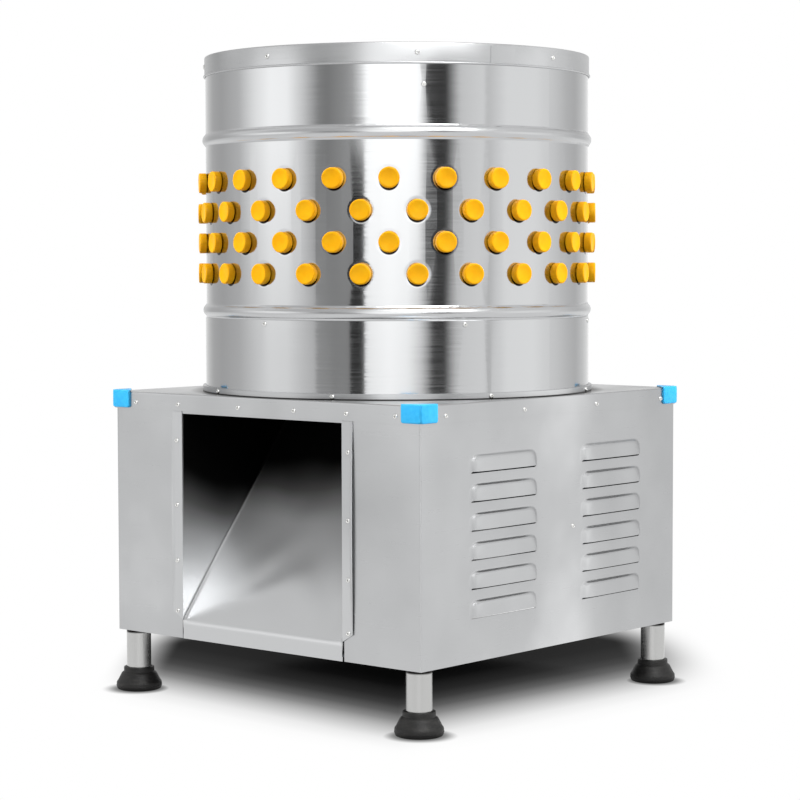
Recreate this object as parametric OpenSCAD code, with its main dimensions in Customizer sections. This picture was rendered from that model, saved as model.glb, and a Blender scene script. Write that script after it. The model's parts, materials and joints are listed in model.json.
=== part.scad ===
// Drum poultry plucker: a square sheet-steel cabinet on four rubber feet, a swaged drum
// lined with rubber fingers, and a belt-driven finger plate that turns at the drum's foot.
// Millimetres. The floor is z = 0 under the drum's axis, the feather chute faces -Y
// and the louvred sides face +X and -X.

/* [Drum] */
// Inside diameter of the drum
drum_id = 500; // [490:1:510]
// Height of the drum's rim above the deck
drum_h = 435; // [425:1:450]
// Thickness of the drum, deck, panel and chute sheet
sheet_t = 1.2; // [1:0.1:1.5]
// Height of the upper swaged bead above the deck
upper_bead_z = 327; // [315:1:340]
// Height of the lower swaged bead above the deck
lower_bead_z = 106; // [100:1:112]
// How far a bead stands out of the drum
bead_proud = 4.3; // [3:0.1:5]
// Height of a bead
bead_h = 15; // [13:1:17]
// Radius of the blend between a bead and the drum's wall
bead_blend_r = 3.5; // [2:0.5:5]
// Height of the collar and shell overlap under the lower bead
collar_lap = 22; // [18:1:26]
// Height of the band round the rim
band_h = 25; // [20:1:30]
// Thickness of the band round the rim
band_t = 1; // [0.8:0.1:1.5]
// Radius of the band's rolled lower edge
band_lip_r = 1.3; // [0.8:0.1:1.8]
// Thickness of the ring round the drum's foot
base_ring_t = 4; // [3:0.5:5]
// Height of the ring round the drum's foot
base_ring_h = 7.5; // [7:0.5:10]

/* [Fingers] */
// Fingers in one row of the drum
row_count = 23; // [21:1:24]
// Free height between the upright fingers and the lowest row of drum fingers
row_gap = 23.5; // [18:0.5:28]
// Height between rows of fingers
row_pitch = 39; // [36:1:40]
// Angle of the first finger of the top row
row_turn = -51.4; // [-55:0.1:-48]
// Diameter of a finger's head
finger_head_d = 26; // [24:0.5:28]
// Thickness of a finger's head
finger_head_t = 10; // [8:0.5:12]
// Diameter of the hole that a finger is pulled into
finger_hole_d = 20; // [18:0.5:20.5]
// Length of a finger past the sheet
finger_l = 84; // [75:1:88]
// Diameter of a finger at its root
finger_root_d = 24; // [22:0.5:24]
// Diameter of a finger at its tip
finger_tip_d = 16; // [14:0.5:18]
// Ribs along a finger
finger_ribs = 8; // [6:1:9]

/* [Cabinet] */
// Height of the cabinet from its lower edge to the deck's top
cabinet_h = 315; // [308:1:325]
// Gap between the floor and the cabinet's lower edge
floor_gap = 80; // [72:1:95]
// Free deck between the ring at the drum's foot and the deck's edge
deck_margin = 6.4; // [5:0.1:12]
// Height of the skirt that turns down round the deck
skirt_h = 22; // [18:1:24]
// Outer bend radius of the deck's edges
deck_r = 2; // [1.5:0.1:3]
// Outer bend radius of the side panels at the front corners
bend_r = 2.5; // [2:0.1:3]
// Leg width of the frame's angle section
angle_w = 25; // [22:1:28]
// Thickness of the frame's angle section
angle_t = 3; // [2.5:0.5:4]

/* [Chute] */
// Clear width of the chute
chute_w = 276; // [265:1:285]
// Height of the chute's sill above the cabinet's lower edge
chute_sill = 22; // [18:1:25]
// Distance from the deck's top down to the chute's mouth
chute_top = 25; // [23:1:30]
// Height of the chute's upright back under the deck
chute_back_h = 40.7; // [34:0.1:46]
// Width of the riveted flange beside the chute's mouth
flange_w = 17; // [15:1:20]

/* [Louvres] */
// Louvres in one column
louvre_n = 6; // [4:1:6]
// Height between louvres
louvre_pitch = 35.3; // [32:0.1:37]
// Height of the lowest louvre's lip above the cabinet's lower edge
louvre_lip_z = 55; // [48:1:60]
// Length of a louvre's lip
louvre_l = 133; // [115:1:140]
// Height of a louvre
louvre_hood_h = 19; // [17:1:21]
// How far a louvre stands out of the panel
louvre_proud = 9; // [7:0.5:10]
// Open gap in the panel below a louvre's lip
louvre_gap = 3; // [2:0.5:4]
// Rounding of a louvre's ends
louvre_end_r = 12; // [8:1:13]
// Middle of the front column of louvres along Y
louvre_front_y = -106; // [-112:1:-100]
// Middle of the rear column of louvres along Y
louvre_rear_y = 115; // [108:1:120]

/* [Feet and guards] */
// Diameter of a leg tube
leg_d = 32; // [28:1:34]
// Wall of a leg tube
leg_wall = 2; // [1.5:0.5:3]
// Gap between a leg tube and the panels
leg_gap = 1.6; // [1:0.1:6]
// Diameter of a foot's rim
foot_d = 61; // [54:1:64]
// Height of a foot
foot_h = 30; // [26:1:36]
// Diameter of a foot's collar
foot_collar_d = 40; // [38:1:44]
// Thickness of rubber under a leg tube
foot_sole = 8; // [6:1:12]
// Leg length of a corner guard along the deck
guard_leg = 29; // [24:1:29]
// Height of a corner guard below the deck's top
guard_drop = 21; // [18:1:22]
// Thickness of a corner guard's sides
guard_t = 3; // [2.5:0.5:3.5]
// Thickness of a corner guard's top
guard_top_t = 2; // [1.5:0.5:3]
// Rounding of a corner guard's edges
guard_r = 1.5; // [1:0.5:2]

/* [Rivets] */
// Diameter of a rivet's head
rivet_head_d = 6.5; // [5:0.5:7]
// Height of a rivet's head
rivet_head_h = 1.6; // [1:0.1:2]
// Diameter of a rivet's shank
rivet_d = 4; // [3:0.1:4.2]

/* [Turning plate] */
// Gap between the turning plate and the drum
plate_gap = 14; // [10:1:20]
// Thickness of the turning plate
plate_t = 3; // [2:0.5:4]
// Height of the turning plate's underside above the deck
plate_lift = 37; // [35:1:40]
// Length of the upright fingers
plate_finger_l = 78; // [65:1:82]
// Gap between the sweepers and the deck
sweep_gap = 5; // [3:0.5:8]
// Thickness of a sweeper
sweep_t = 3; // [2:0.5:4]

/* [Spindle] */
// Diameter of the main shaft
shaft_d = 25; // [22:1:26]
// Outer diameter of the spindle bearings
bearing_d = 52; // [50:1:54]
// Width of a spindle bearing
bearing_w = 15; // [13:1:17]
// Outer diameter of the spindle tube
tube_d = 72; // [68:1:76]
// Length of the spindle tube below the deck's top
tube_l = 165; // [150:1:180]
// Distance from the shaft to a spindle rail's middle
rail_y = 55; // [53:1:56]
// Width and height of a spindle rail
rail_w = 25; // [22:1:26]

/* [Drive] */
// Height of the belt above the cabinet's lower edge
belt_z = 60; // [56:1:66]
// Outer diameter of the driven pulley
driven_d = 285.5; // [260:0.5:290]
// Outer diameter of the motor's pulley
motor_pulley_d = 61.5; // [58:0.5:66]
// Depth of the belt in its groove below the pulley's rim
belt_sunk = 0.5; // [0.3:0.1:1]
// Height of the belt's section
belt_h = 8; // [7:0.5:9]
// Distance of the motor's axis from the right panel
motor_inset = 110.6; // [107:0.1:116]
// Diameter of the motor over its fins
motor_d = 156; // [148:1:158]
// Length of the motor's finned frame
motor_l = 120; // [112:1:126]
// Diameter of the motor's shaft
motor_shaft_d = 19; // [16:0.5:22]
// Cooling fins round the motor
fin_n = 28; // [20:1:32]

/* [Switch] */
// Middle of the switch along Y
switch_y = 4; // [1:1:8]
// Height of the switch above the cabinet's lower edge
switch_z = 200; // [192:1:208]
// Diameter of a push button
button_d = 19; // [17:0.5:20]
// Travel of a push button
button_travel = 2.5; // [1.5:0.1:3]
// Diameter of the lead between the switch and the motor
lead_d = 8; // [6:0.5:9]
// Bore of the grommet for the mains cord
grommet_d = 9; // [7:0.5:10]

/* [Hidden] */
$fn = 96;
// Fit between pieces that sit in one another, and between pieces that turn or slide
fit = 0.1;
run = 0.3;
drum_ri = drum_id / 2;
drum_ro = drum_ri + sheet_t;
collar_ri = drum_ro + fit;
collar_ro = collar_ri + sheet_t;
ring_ro = collar_ro + fit + base_ring_t;
half = ring_ro + deck_margin;
// Outer and inner faces of the panels
pan_o = half - sheet_t;
pan_i = pan_o - sheet_t;
z_cab = floor_gap;
z_deck = z_cab + cabinet_h;
z_under = z_deck - sheet_t;
z_rim = z_deck + drum_h;
z_skirt = z_deck - skirt_h;
z_frame = z_cab + 5;
frame_in = pan_i - angle_w;
// A bead's arc, the arc's centre, and how far the bead with its blends reaches up and down
bead_r = (bead_h * bead_h / 4 + bead_proud * bead_proud) / (2 * bead_proud);
bead_c = drum_ro + bead_proud - bead_r;
blend_c = drum_ro + bead_blend_r;
bead_reach = sqrt(pow(bead_r + bead_blend_r, 2) - pow(blend_c - bead_c, 2));
z_collar = z_deck + lower_bead_z - bead_reach - run;
collar_rivet_z = z_collar - 4.5;
band_rivet_z = z_rim - band_h / 2;
lone_rivet_z = z_rim - 51;
// Chute
chute_x = chute_w / 2;
chute_sill_z = z_cab + chute_sill;
chute_top_z = z_deck - chute_top;
chute_back = -(rail_y + rail_w / 2);
chute_angle = atan((z_under - chute_back_h - chute_sill_z) / (chute_back + half));
function slope_z(y) = chute_sill_z + (y + half) * tan(chute_angle);
flange_z = z_skirt - 0.5;
strip_x = chute_x + sheet_t + 1;
outlet_x = chute_x - 8;
// Turning plate
plate_r = drum_ri - plate_gap;
z_plate = z_deck + plate_lift;
z_plate_top = z_plate + plate_t;
ring_r = [plate_r * 0.38, plate_r * 0.615, plate_r * 0.85];
ring_n = [6, 9, 15];
// How far a finger's neck is longer than the sheet it holds, and the lowest row of the drum
neck_slack = 0.5;
low_row_z = z_plate_top + neck_slack + plate_finger_l + row_gap + finger_root_d / 2;
function row_z(i) = low_row_z + (3 - i) * row_pitch;
function row_angle(i) = row_turn + (i % 2) * 180 / row_count;
hub_r = 58;
hub_bolt_r = 46;
boss_r = 26;
hub_t = 8;
bolt_d = 8;
nut_d = 16;
// Spindle
shaft_r = shaft_d / 2;
bear_r = bearing_d / 2;
tube_r = tube_d / 2;
z_tube_top = z_deck + 8;
z_tube = z_deck - tube_l;
z_upper_bear = z_deck - bearing_w - 6;
z_rail = z_under - rail_w;
pad_t = 8;
pad_x = 75;
pad_y = rail_y + rail_w / 2 - 1;
// Drive
z_belt = z_cab + belt_z;
z_shaft = z_belt - 18;
pulley_w = 20;
groove_h = 11;
groove_top = 6.6;
groove_foot = 3.2;
groove_slope = (groove_top - groove_foot) / groove_h;
flank_gap = run / cos(atan(groove_slope));
belt_top = groove_top - belt_sunk * groove_slope - flank_gap;
belt_foot = belt_top - belt_h * groove_slope;
belt_r1 = driven_d / 2 - belt_sunk;
belt_r2 = motor_pulley_d / 2 - belt_sunk;
motor_r = motor_d / 2;
motor_plate_t = 5;
motor_x = pan_i - motor_inset;
motor_y = frame_in - motor_plate_t - motor_r - 2;
centre_l = sqrt(motor_x * motor_x + motor_y * motor_y);
centre_turn = atan2(motor_y, motor_x);
wrap = acos((belt_r1 - belt_r2) / centre_l);
z_shield = z_belt + pulley_w / 2 + 10;
shield_t = 24;
z_frame_motor = z_shield + shield_t;
z_cowl = z_frame_motor + motor_l;
cowl_h = 56;
core_r = motor_r - 12;
motor_shaft_r = motor_shaft_d / 2;
// Switch
switch_mid = z_cab + switch_z;
switch_face = 4.5;
button_gap = 26;
switch_body = [46, button_gap + button_d + 8, 58];
lead_z = switch_mid - 20;
button_r = button_d / 2;
button_proud = 3.6;
lead_r = lead_d / 2;
lead_off = pan_i - angle_t - lead_r - 1;
lead_bend = 24;
box_w = 44;
box_y = 70;
box_h = 58;
box_x = motor_x - motor_r - box_w + 8;
lead_end_x = box_x + box_w / 2;
grommet_x = -150;
grommet_z = z_cab + 70;

steel = [0.75, 0.76, 0.77];
rubber_yellow = [0.98, 0.72, 0.12];
rubber_black = [0.12, 0.12, 0.12];
guard_blue = [0.24, 0.73, 0.95];
motor_grey = [0.35, 0.4, 0.45];

// Shared shapes

module tube(ro, ri, h) {
    difference() {
        cylinder(r = ro, h = h);
        translate([0, 0, -1]) cylinder(r = ri, h = h + 2);
    }
}

module round_square(x, y, r) {
    translate([r, 0]) square([x - 2 * r, y]);
    translate([0, r]) square([x, y - 2 * r]);
    for (i = [r, x - r]) for (j = [r, y - r]) translate([i, j]) circle(r = r);
}

// A rubber finger along +Z: head below z = 0, neck through a sheet, ribbed taper beyond it
function finger_r(u) = (finger_root_d + (finger_tip_d - finger_root_d) * u) / 2;
function rib_points(z0, pitch, l) = [for (i = [0 : finger_ribs - 1])
    for (p = [[0.18, -1.6], [0.34, 0], [0.84, 0], [1, -1.6]])
        let (z = z0 + (i + p[0]) * pitch) [finger_r((z - z0) / l) + p[1], z]];

module finger(grip, l) {
    neck = grip + neck_slack;
    head_r = finger_head_d / 2;
    body = l - 4;
    pitch = (body - 10) / finger_ribs;
    rotate_extrude() polygon(concat(
        [[0, -finger_head_t], [head_r - 1.5, -finger_head_t],
            [head_r, 1.5 - finger_head_t], [head_r, -1 - fit], [head_r - 0.9, -fit],
            [finger_hole_d / 2 - 0.2, -fit], [finger_hole_d / 2 - 0.2, neck],
            [finger_root_d / 2, neck], [finger_root_d / 2, neck + 6]],
        rib_points(neck + 10, pitch, body),
        [[finger_tip_d / 2, neck + body], [finger_tip_d / 2 - 3, neck + l],
            [0, neck + l]]));
}

module rivet(grip) {
    head_r = rivet_head_d / 2;
    rotate_extrude() polygon([[1.1, 0.9], [1.4, rivet_head_h], [head_r * 0.55, rivet_head_h],
        [head_r * 0.9, rivet_head_h * 0.6], [head_r, 0.02], [rivet_d / 2, 0.02],
        [rivet_d / 2, 0.1 - grip], [0, 0.1 - grip], [0, 0.9]]);
}

module rivet_hole() {
    translate([0, 0, -10]) cylinder(r = rivet_d / 2 + fit, h = 20);
}

// Rivet places on the four faces of the skirt, on the chute's flanges and on the drum
rivet_z = z_deck - 13.5;
corner_rivet = half - guard_leg - 10.5;
chute_rivet = chute_x + 7.3;
front_rivet_x = [-corner_rivet, -chute_rivet, -37.3, 58.7, chute_rivet, corner_rivet];
side_rivet_y = [7 - corner_rivet, -64.1, 86.3, corner_rivet + 6.5];
rear_rivet_x = [-corner_rivet, -70, 70, corner_rivet];
flange_rivet_z = [35, 100, 172, 255];

module at_front() {
    for (x = front_rivet_x) translate([x, -half, rivet_z]) rotate([90, 0, 0]) children();
}

module at_side() {
    for (y = side_rivet_y) translate([half, y, rivet_z]) rotate([0, 90, 0]) children();
}

module at_rear() {
    for (x = rear_rivet_x) translate([x, half, rivet_z]) rotate([-90, 0, 0]) children();
}

module at_flange() {
    for (z = flange_rivet_z)
        translate([chute_x + flange_w * 0.58, -half, z_cab + z]) rotate([90, 0, 0]) children();
}

module at_round(r, z, n, turn) {
    for (i = [0 : n - 1])
        rotate([0, 0, turn + i * 360 / n]) translate([r, 0, z]) rotate([0, 90, 0]) children();
}

module at_collar_rivets() {
    at_round(collar_ro, collar_rivet_z, 6, -90) children();
}

module at_band_rivets() {
    at_round(drum_ro + fit + band_t, band_rivet_z, 8, -88.5) children();
}

module at_lone_rivet() {
    at_round(drum_ro, lone_rivet_z, 1, -41.7) children();
}

module at_base_rivets() {
    at_round(ring_ro, z_deck + base_ring_h / 2, 8, -67.4) children();
}

// Cabinet

// Section of the deck's block, with its upper corners bent
module bent_section() {
    translate([-half, z_skirt]) square([2 * half, skirt_h - deck_r]);
    translate([deck_r - half, z_skirt]) square([2 * (half - deck_r), skirt_h]);
    for (s = [-1, 1]) translate([s * (half - deck_r), z_deck - deck_r]) circle(r = deck_r);
}

module deck() {
    color(steel) difference() {
        intersection_for (a = [0, 90])
            rotate([90, 0, a]) translate([0, 0, -half]) linear_extrude(2 * half) bent_section();
        translate([-pan_o, -pan_o, z_skirt - 1]) cube([2 * pan_o, 2 * pan_o, skirt_h + 1 - sheet_t]);
        translate([0, 0, z_deck - 5]) cylinder(r = tube_r + run, h = 10);
        intersection() {
            translate([0, 0, z_deck - 5]) cylinder(r = drum_ri - 10, h = 10);
            translate([-outlet_x, -half, z_deck - 5]) cube([2 * outlet_x, half + chute_back - 4, 10]);
        }
        at_front() rivet_hole();
        at_rear() rivet_hole();
        at_side() rivet_hole();
        mirror([1, 0, 0]) at_side() rivet_hole();
    }
}

// Pressed hood of a louvre about a level axis behind the panel; shrink gives its inside
hood_c = (louvre_hood_h * louvre_hood_h - louvre_proud * louvre_proud) / (2 * louvre_proud);

module hood(shrink) {
    r = hood_c + louvre_proud - shrink;
    l = louvre_l - 2 * shrink;
    e = louvre_end_r - shrink;
    intersection() {
        translate([pan_o - hood_c, l / 2, 0]) rotate([90, 0, 0]) rotate_extrude() {
            square([r - e, l]);
            translate([r - e, e]) circle(r = e);
            translate([r - e, l - e]) circle(r = e);
            translate([0, e]) square([r, l - 2 * e]);
        }
        translate([pan_o - sheet_t * (shrink > 0 ? 2 : 0.5), -l, 0]) cube([30, 2 * l, 2 * louvre_hood_h]);
    }
}

module louvre_slot() {
    l = louvre_l - 2 * louvre_end_r;
    translate([pan_i - 1, -l / 2, -louvre_gap]) cube([sheet_t + 2, l, louvre_gap + 1]);
}

module at_louvres() {
    for (y = [louvre_front_y, louvre_rear_y]) for (i = [0 : louvre_n - 1])
        translate([0, y, z_cab + louvre_lip_z + i * louvre_pitch]) children();
}

module panel_blank() {
    translate([0, 0, z_cab]) linear_extrude(cabinet_h - sheet_t) difference() {
        union() {
            translate([strip_x, -pan_o]) square([pan_o - bend_r - strip_x, sheet_t]);
            translate([pan_i, bend_r - pan_o]) square([sheet_t, pan_o + pan_i - bend_r]);
            intersection() {
                translate([pan_o - bend_r, bend_r - pan_o]) circle(r = bend_r);
                translate([pan_o - bend_r, -pan_o]) square(bend_r);
            }
        }
        translate([pan_o - bend_r, bend_r - pan_o]) circle(r = bend_r - sheet_t);
    }
}

module side_panel() {
    difference() {
        union() {
            panel_blank();
            at_louvres() hood(0);
        }
        at_louvres() hood(sheet_t);
        at_louvres() louvre_slot();
        at_side() rivet_hole();
        at_front() rivet_hole();
        at_flange() rivet_hole();
    }
}

module at_panel_rivet() {
    translate([pan_o, 33, z_cab + 149]) rotate([0, 90, 0]) children();
}

module right_panel() {
    color(steel) difference() {
        side_panel();
        at_panel_rivet() rivet_hole();
    }
}

module left_panel() {
    color(steel) difference() {
        mirror([1, 0, 0]) side_panel();
        translate([-pan_o - 5, switch_y - switch_body[1] / 2 - fit, switch_mid - switch_body[2] / 2 - fit])
            cube([10, switch_body[1] + 2 * fit, switch_body[2] + 2 * fit]);
    }
}

rear_screw_x = pan_i - angle_w / 2 - 2;
rear_screw_z = [z_cab + 60, z_cab + 155, z_cab + 250];

module at_rear_screws() {
    for (s = [-1, 1]) for (z = rear_screw_z)
        translate([s * rear_screw_x, pan_o, z]) rotate([-90, 0, 0]) children();
}

module rear_panel() {
    color(steel) difference() {
        translate([-pan_o, pan_i, z_cab]) cube([2 * pan_o, sheet_t, cabinet_h - sheet_t]);
        at_rear() rivet_hole();
        at_rear_screws() rivet_hole();
        translate([grommet_x, pan_i - 5, grommet_z]) rotate([-90, 0, 0])
            cylinder(r = grommet_d / 2 + 3 + fit, h = 12);
    }
}

module rear_screws() {
    color(steel) at_rear_screws() difference() {
        union() {
            rotate_extrude() polygon([[0, 0], [4.5, 0], [4.2, 1.6], [3, 2.4], [0, 2.6]]);
            translate([0, 0, -sheet_t]) cylinder(r = rivet_d / 2, h = sheet_t + 1);
        }
        translate([0, 0, 2.4]) cube([5, 0.9, 2], center = true);
        translate([0, 0, 2.4]) cube([0.9, 5, 2], center = true);
    }
}

module chute_floor() {
    drop = sheet_t / cos(chute_angle);
    color(steel) union() {
        rotate([90, 0, 90]) translate([0, 0, fit - chute_x]) linear_extrude(2 * (chute_x - fit))
            polygon([[-half, z_cab], [-half, chute_sill_z],
                [chute_back - sheet_t, slope_z(chute_back - sheet_t)],
                [chute_back - sheet_t, z_under], [chute_back, z_under],
                [chute_back, slope_z(chute_back) - drop],
                [-pan_o, slope_z(-pan_o) - drop], [-pan_o, z_cab]]);
        translate([-strip_x, -half, z_cab]) cube([2 * strip_x, sheet_t, chute_sill - 1]);
    }
}

// Upright wall of the chute on the +X side, with its riveted flange
module chute_wall() {
    under = 10;
    flange_x = chute_x + flange_w;
    difference() {
        union() {
            rotate([90, 0, 90]) translate([0, 0, chute_x]) linear_extrude(sheet_t)
                polygon([[-half, chute_sill_z + 2], [-half, flange_z], [-pan_o, flange_z],
                    [-pan_o, z_under], [chute_back, z_under],
                    [chute_back, slope_z(chute_back) - under],
                    [-pan_o, slope_z(-pan_o) - under], [-pan_o, chute_sill_z + 2]]);
            rotate([90, 0, 0]) translate([0, 0, pan_o]) linear_extrude(sheet_t)
                polygon([[chute_x, chute_sill_z + 2], [chute_x + 3, chute_sill_z + 2],
                    [flange_x, chute_sill_z + 12], [flange_x, flange_z], [chute_x, flange_z]]);
        }
        at_flange() rivet_hole();
    }
}

module chute_right_wall() {
    color(steel) chute_wall();
}

module chute_left_wall() {
    color(steel) mirror([1, 0, 0]) chute_wall();
}

module chute_header() {
    color(steel) difference() {
        translate([fit - chute_x, -pan_o, chute_top_z])
            cube([2 * (chute_x - fit), sheet_t, z_under - chute_top_z]);
        at_front() rivet_hole();
    }
}

// Frame of angle section: posts in the corners, rails between them

module post() {
    r = bend_r;
    difference() {
        union() {
            translate([frame_in, frame_in, z_frame]) cube([angle_w - r, angle_w, z_under - z_frame]);
            translate([frame_in, frame_in, z_frame]) cube([angle_w, angle_w - r, z_under - z_frame]);
            translate([pan_i - r, pan_i - r, z_frame]) cylinder(r = r, h = z_under - z_frame);
        }
        translate([frame_in - 1, frame_in - 1, z_frame - 1])
            cube([angle_w - angle_t + 1, angle_w - angle_t + 1, z_under - z_frame + 2]);
    }
}

module angle_rail(up) {
    l = 2 * (frame_in - fit);
    translate([frame_in, -l / 2, up ? z_under - angle_t : z_frame]) cube([angle_w, l, angle_t]);
    translate([pan_i - angle_t, -l / 2, up ? z_under - angle_w : z_frame]) cube([angle_t, l, angle_w]);
}

module frame() {
    color(motor_grey) {
        for (i = [0, 1]) for (j = [0, 1]) mirror([i, 0, 0]) mirror([0, j, 0]) post();
        for (a = [0, 90, 180]) rotate([0, 0, a]) angle_rail(true);
        for (a = [0, 90, 180]) rotate([0, 0, a]) angle_rail(false);
        translate([fit - frame_in, -pan_i, z_frame]) cube([2 * (frame_in - fit), angle_w, angle_t]);
    }
}

module spindle_rails() {
    color(motor_grey) for (s = [-1, 1]) translate([-frame_in, s * rail_y - rail_w / 2, z_rail]) difference() {
        cube([2 * frame_in, rail_w, rail_w]);
        translate([-1, 2, 2]) cube([2 * frame_in + 2, rail_w - 4, rail_w - 4]);
        for (x = [-pad_x + 14, pad_x - 14])
            translate([frame_in + x, rail_w / 2, -1]) cylinder(r = bolt_d / 2 + run, h = 8);
    }
}

leg_x = pan_i - leg_gap - leg_d / 2;

module leg(sx, sy) {
    pad = 40;
    pad_o = pan_i - run;
    color(steel) mirror([sx < 0 ? 1 : 0, 0, 0]) mirror([0, sy < 0 ? 1 : 0, 0]) union() {
        translate([leg_x, leg_x, foot_sole + fit]) tube(leg_d / 2, leg_d / 2 - leg_wall, z_frame - 2 - foot_sole);
        translate([pad_o - pad, pad_o - pad, z_frame - 3]) cube([pad, pad, 3]);
    }
}

module foot(sx, sy) {
    r = foot_d / 2;
    c = foot_collar_d / 2;
    color(rubber_black) translate([sx * leg_x, sy * leg_x, 0]) rotate_extrude() difference() {
        polygon([[0, 0], [r - 3, 0], [r - 1.2, 1.2], [r - 0.4, 4], [r - 0.4, foot_h * 0.39 - 2],
            [r - 1.6, foot_h * 0.39], [c + 2.5, foot_h * 0.74], [c, foot_h * 0.78],
            [c, foot_h - 1], [c - 1, foot_h], [0, foot_h]]);
        translate([0, foot_sole]) square([leg_d / 2 + fit, foot_h]);
    }
}

module leg_front_left() { leg(-1, -1); }
module leg_front_right() { leg(1, -1); }
module leg_rear_left() { leg(-1, 1); }
module leg_rear_right() { leg(1, 1); }
module foot_front_left() { foot(-1, -1); }
module foot_front_right() { foot(1, -1); }
module foot_rear_left() { foot(-1, 1); }
module foot_rear_right() { foot(1, 1); }

module guard(sx, sy) {
    l = guard_leg + guard_t;
    h = guard_drop + guard_top_t;
    color(guard_blue) mirror([sx < 0 ? 1 : 0, 0, 0]) mirror([0, sy < 0 ? 1 : 0, 0])
        translate([half - guard_leg, half - guard_leg, z_deck - guard_drop]) difference() {
            intersection() {
                linear_extrude(h) round_square(l, l, guard_r);
                rotate([90, 0, 0]) translate([0, 0, -l]) linear_extrude(l) round_square(l, h, guard_r);
                rotate([90, 0, 90]) linear_extrude(l) round_square(l, h, guard_r);
            }
            translate([-1, -1, -1]) cube([guard_leg + 1, guard_leg + 1, guard_drop + 1]);
            translate([0, 0, -1]) linear_extrude(h + 2)
                polygon([[-1, -1], [guard_leg, -1], [guard_leg, 0], [0, guard_leg], [-1, guard_leg]]);
        }
}

module guard_front_left() { guard(-1, -1); }
module guard_front_right() { guard(1, -1); }
module guard_rear_left() { guard(-1, 1); }
module guard_rear_right() { guard(1, 1); }

module panel_rivets() {
    grip = 2 * sheet_t;
    color(steel) {
        at_front() rivet(grip);
        at_rear() rivet(grip);
        at_side() rivet(grip);
        mirror([1, 0, 0]) at_side() rivet(grip);
        at_panel_rivet() rivet(sheet_t);
    }
}

module chute_rivets() {
    color(steel) for (i = [0, 1]) mirror([i, 0, 0]) at_flange() rivet(2 * sheet_t);
}

// Drum

module base_ring() {
    color(steel) difference() {
        translate([0, 0, z_deck]) tube(ring_ro, collar_ro + fit, base_ring_h);
        at_base_rivets() rivet_hole();
    }
}

module drum_collar() {
    color(steel) difference() {
        translate([0, 0, z_deck]) tube(collar_ro, collar_ri, z_collar - z_deck);
        at_collar_rivets() rivet_hole();
        at_base_rivets() rivet_hole();
    }
}

// Outline of a bead at height z with a blend at each end; shrink gives its inside
module bead_area(z, shrink) {
    translate([bead_c, z]) circle(r = bead_r - shrink);
    for (i = [0, 1]) translate([0, z]) mirror([0, i]) difference() {
        polygon([[bead_c, 0], [bead_c, -bead_reach], [blend_c, -bead_reach]]);
        translate([blend_c, -bead_reach]) circle(r = bead_blend_r + shrink);
    }
}

module row_holes(i) {
    at_round(drum_ro, row_z(i), row_count, row_angle(i))
        translate([0, 0, -20]) cylinder(r = finger_hole_d / 2, h = 40);
}

module drum_shell() {
    bead_z = [z_deck + lower_bead_z, z_deck + upper_bead_z];
    z_foot = z_collar - collar_lap;
    color(steel) difference() {
        rotate_extrude() difference() {
            union() {
                translate([drum_ri, z_foot]) square([sheet_t, z_rim - 2 - z_foot]);
                intersection() {
                    for (z = bead_z) bead_area(z, 0);
                    translate([drum_ro - sheet_t / 2, z_foot]) square([20, drum_h]);
                }
            }
            for (z = bead_z) bead_area(z, sheet_t);
        }
        for (i = [0 : 3]) row_holes(i);
        at_collar_rivets() rivet_hole();
        at_band_rivets() rivet_hole();
        at_lone_rivet() rivet_hole();
    }
}

// Section of the band: rolled over the drum's edge, with a rolled lip along its lower edge
module band_section() {
    inner = drum_ri - fit - band_t;
    fold_r = (sheet_t + 2 * fit) / 2 + band_t;
    fold_z = z_rim - fold_r;
    translate([drum_ro + fit, z_rim - band_h]) square([band_t, fold_z - z_rim + band_h]);
    translate([inner, z_rim - band_h / 2]) square([band_t, fold_z - z_rim + band_h / 2]);
    intersection() {
        difference() {
            translate([inner + fold_r, fold_z]) circle(r = fold_r);
            translate([inner + fold_r, fold_z]) circle(r = fold_r - band_t);
        }
        translate([inner - 1, fold_z]) square([2 * fold_r + 2, fold_r]);
    }
    translate([drum_ro + fit + band_lip_r, z_rim - band_h]) circle(r = band_lip_r);
}

module rim_band() {
    lap = 8;
    ro = drum_ro + fit + band_t;
    color(steel) difference() {
        union() {
            rotate_extrude() band_section();
            translate([0, 0, z_rim - band_h]) rotate([0, 0, -22]) rotate_extrude(angle = lap)
                translate([ro - 0.2, 0]) square([band_t, band_h - 3]);
        }
        at_band_rivets() translate([0, 0, 6]) rivet_hole();
    }
}

module finger_row(i) {
    color(rubber_yellow) at_round(drum_ro, row_z(i), row_count, row_angle(i))
        rotate([180, 0, 0]) finger(sheet_t, finger_l);
}

module finger_row_1() { finger_row(0); }
module finger_row_2() { finger_row(1); }
module finger_row_3() { finger_row(2); }
module finger_row_4() { finger_row(3); }

module drum_rivets() {
    grip = 2 * sheet_t;
    color(steel) {
        at_collar_rivets() rivet(grip);
        at_band_rivets() rivet(band_t + sheet_t);
        at_lone_rivet() rivet(sheet_t);
        at_base_rivets() rivet(base_ring_t + sheet_t);
    }
}

// Turning plate and its shaft

module at_plate_fingers() {
    for (k = [0 : 2]) for (i = [0 : ring_n[k] - 1])
        rotate([0, 0, (i + 0.5) * 360 / ring_n[k]]) translate([ring_r[k], 0, z_plate]) children();
}

module at_hub_bolts() {
    for (i = [0 : 5]) rotate([0, 0, i * 60]) translate([hub_bolt_r, 0, 0]) children();
}

module feather_plate() {
    color(steel) difference() {
        translate([0, 0, z_plate]) cylinder(r = plate_r, h = plate_t);
        translate([0, 0, z_plate - 1]) cylinder(r = shaft_r + fit, h = plate_t + 2);
        at_plate_fingers() translate([0, 0, -1]) cylinder(r = finger_hole_d / 2, h = plate_t + 2);
        at_hub_bolts() translate([0, 0, z_plate - 1]) cylinder(r = bolt_d / 2 + fit, h = plate_t + 2);
    }
}

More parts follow.
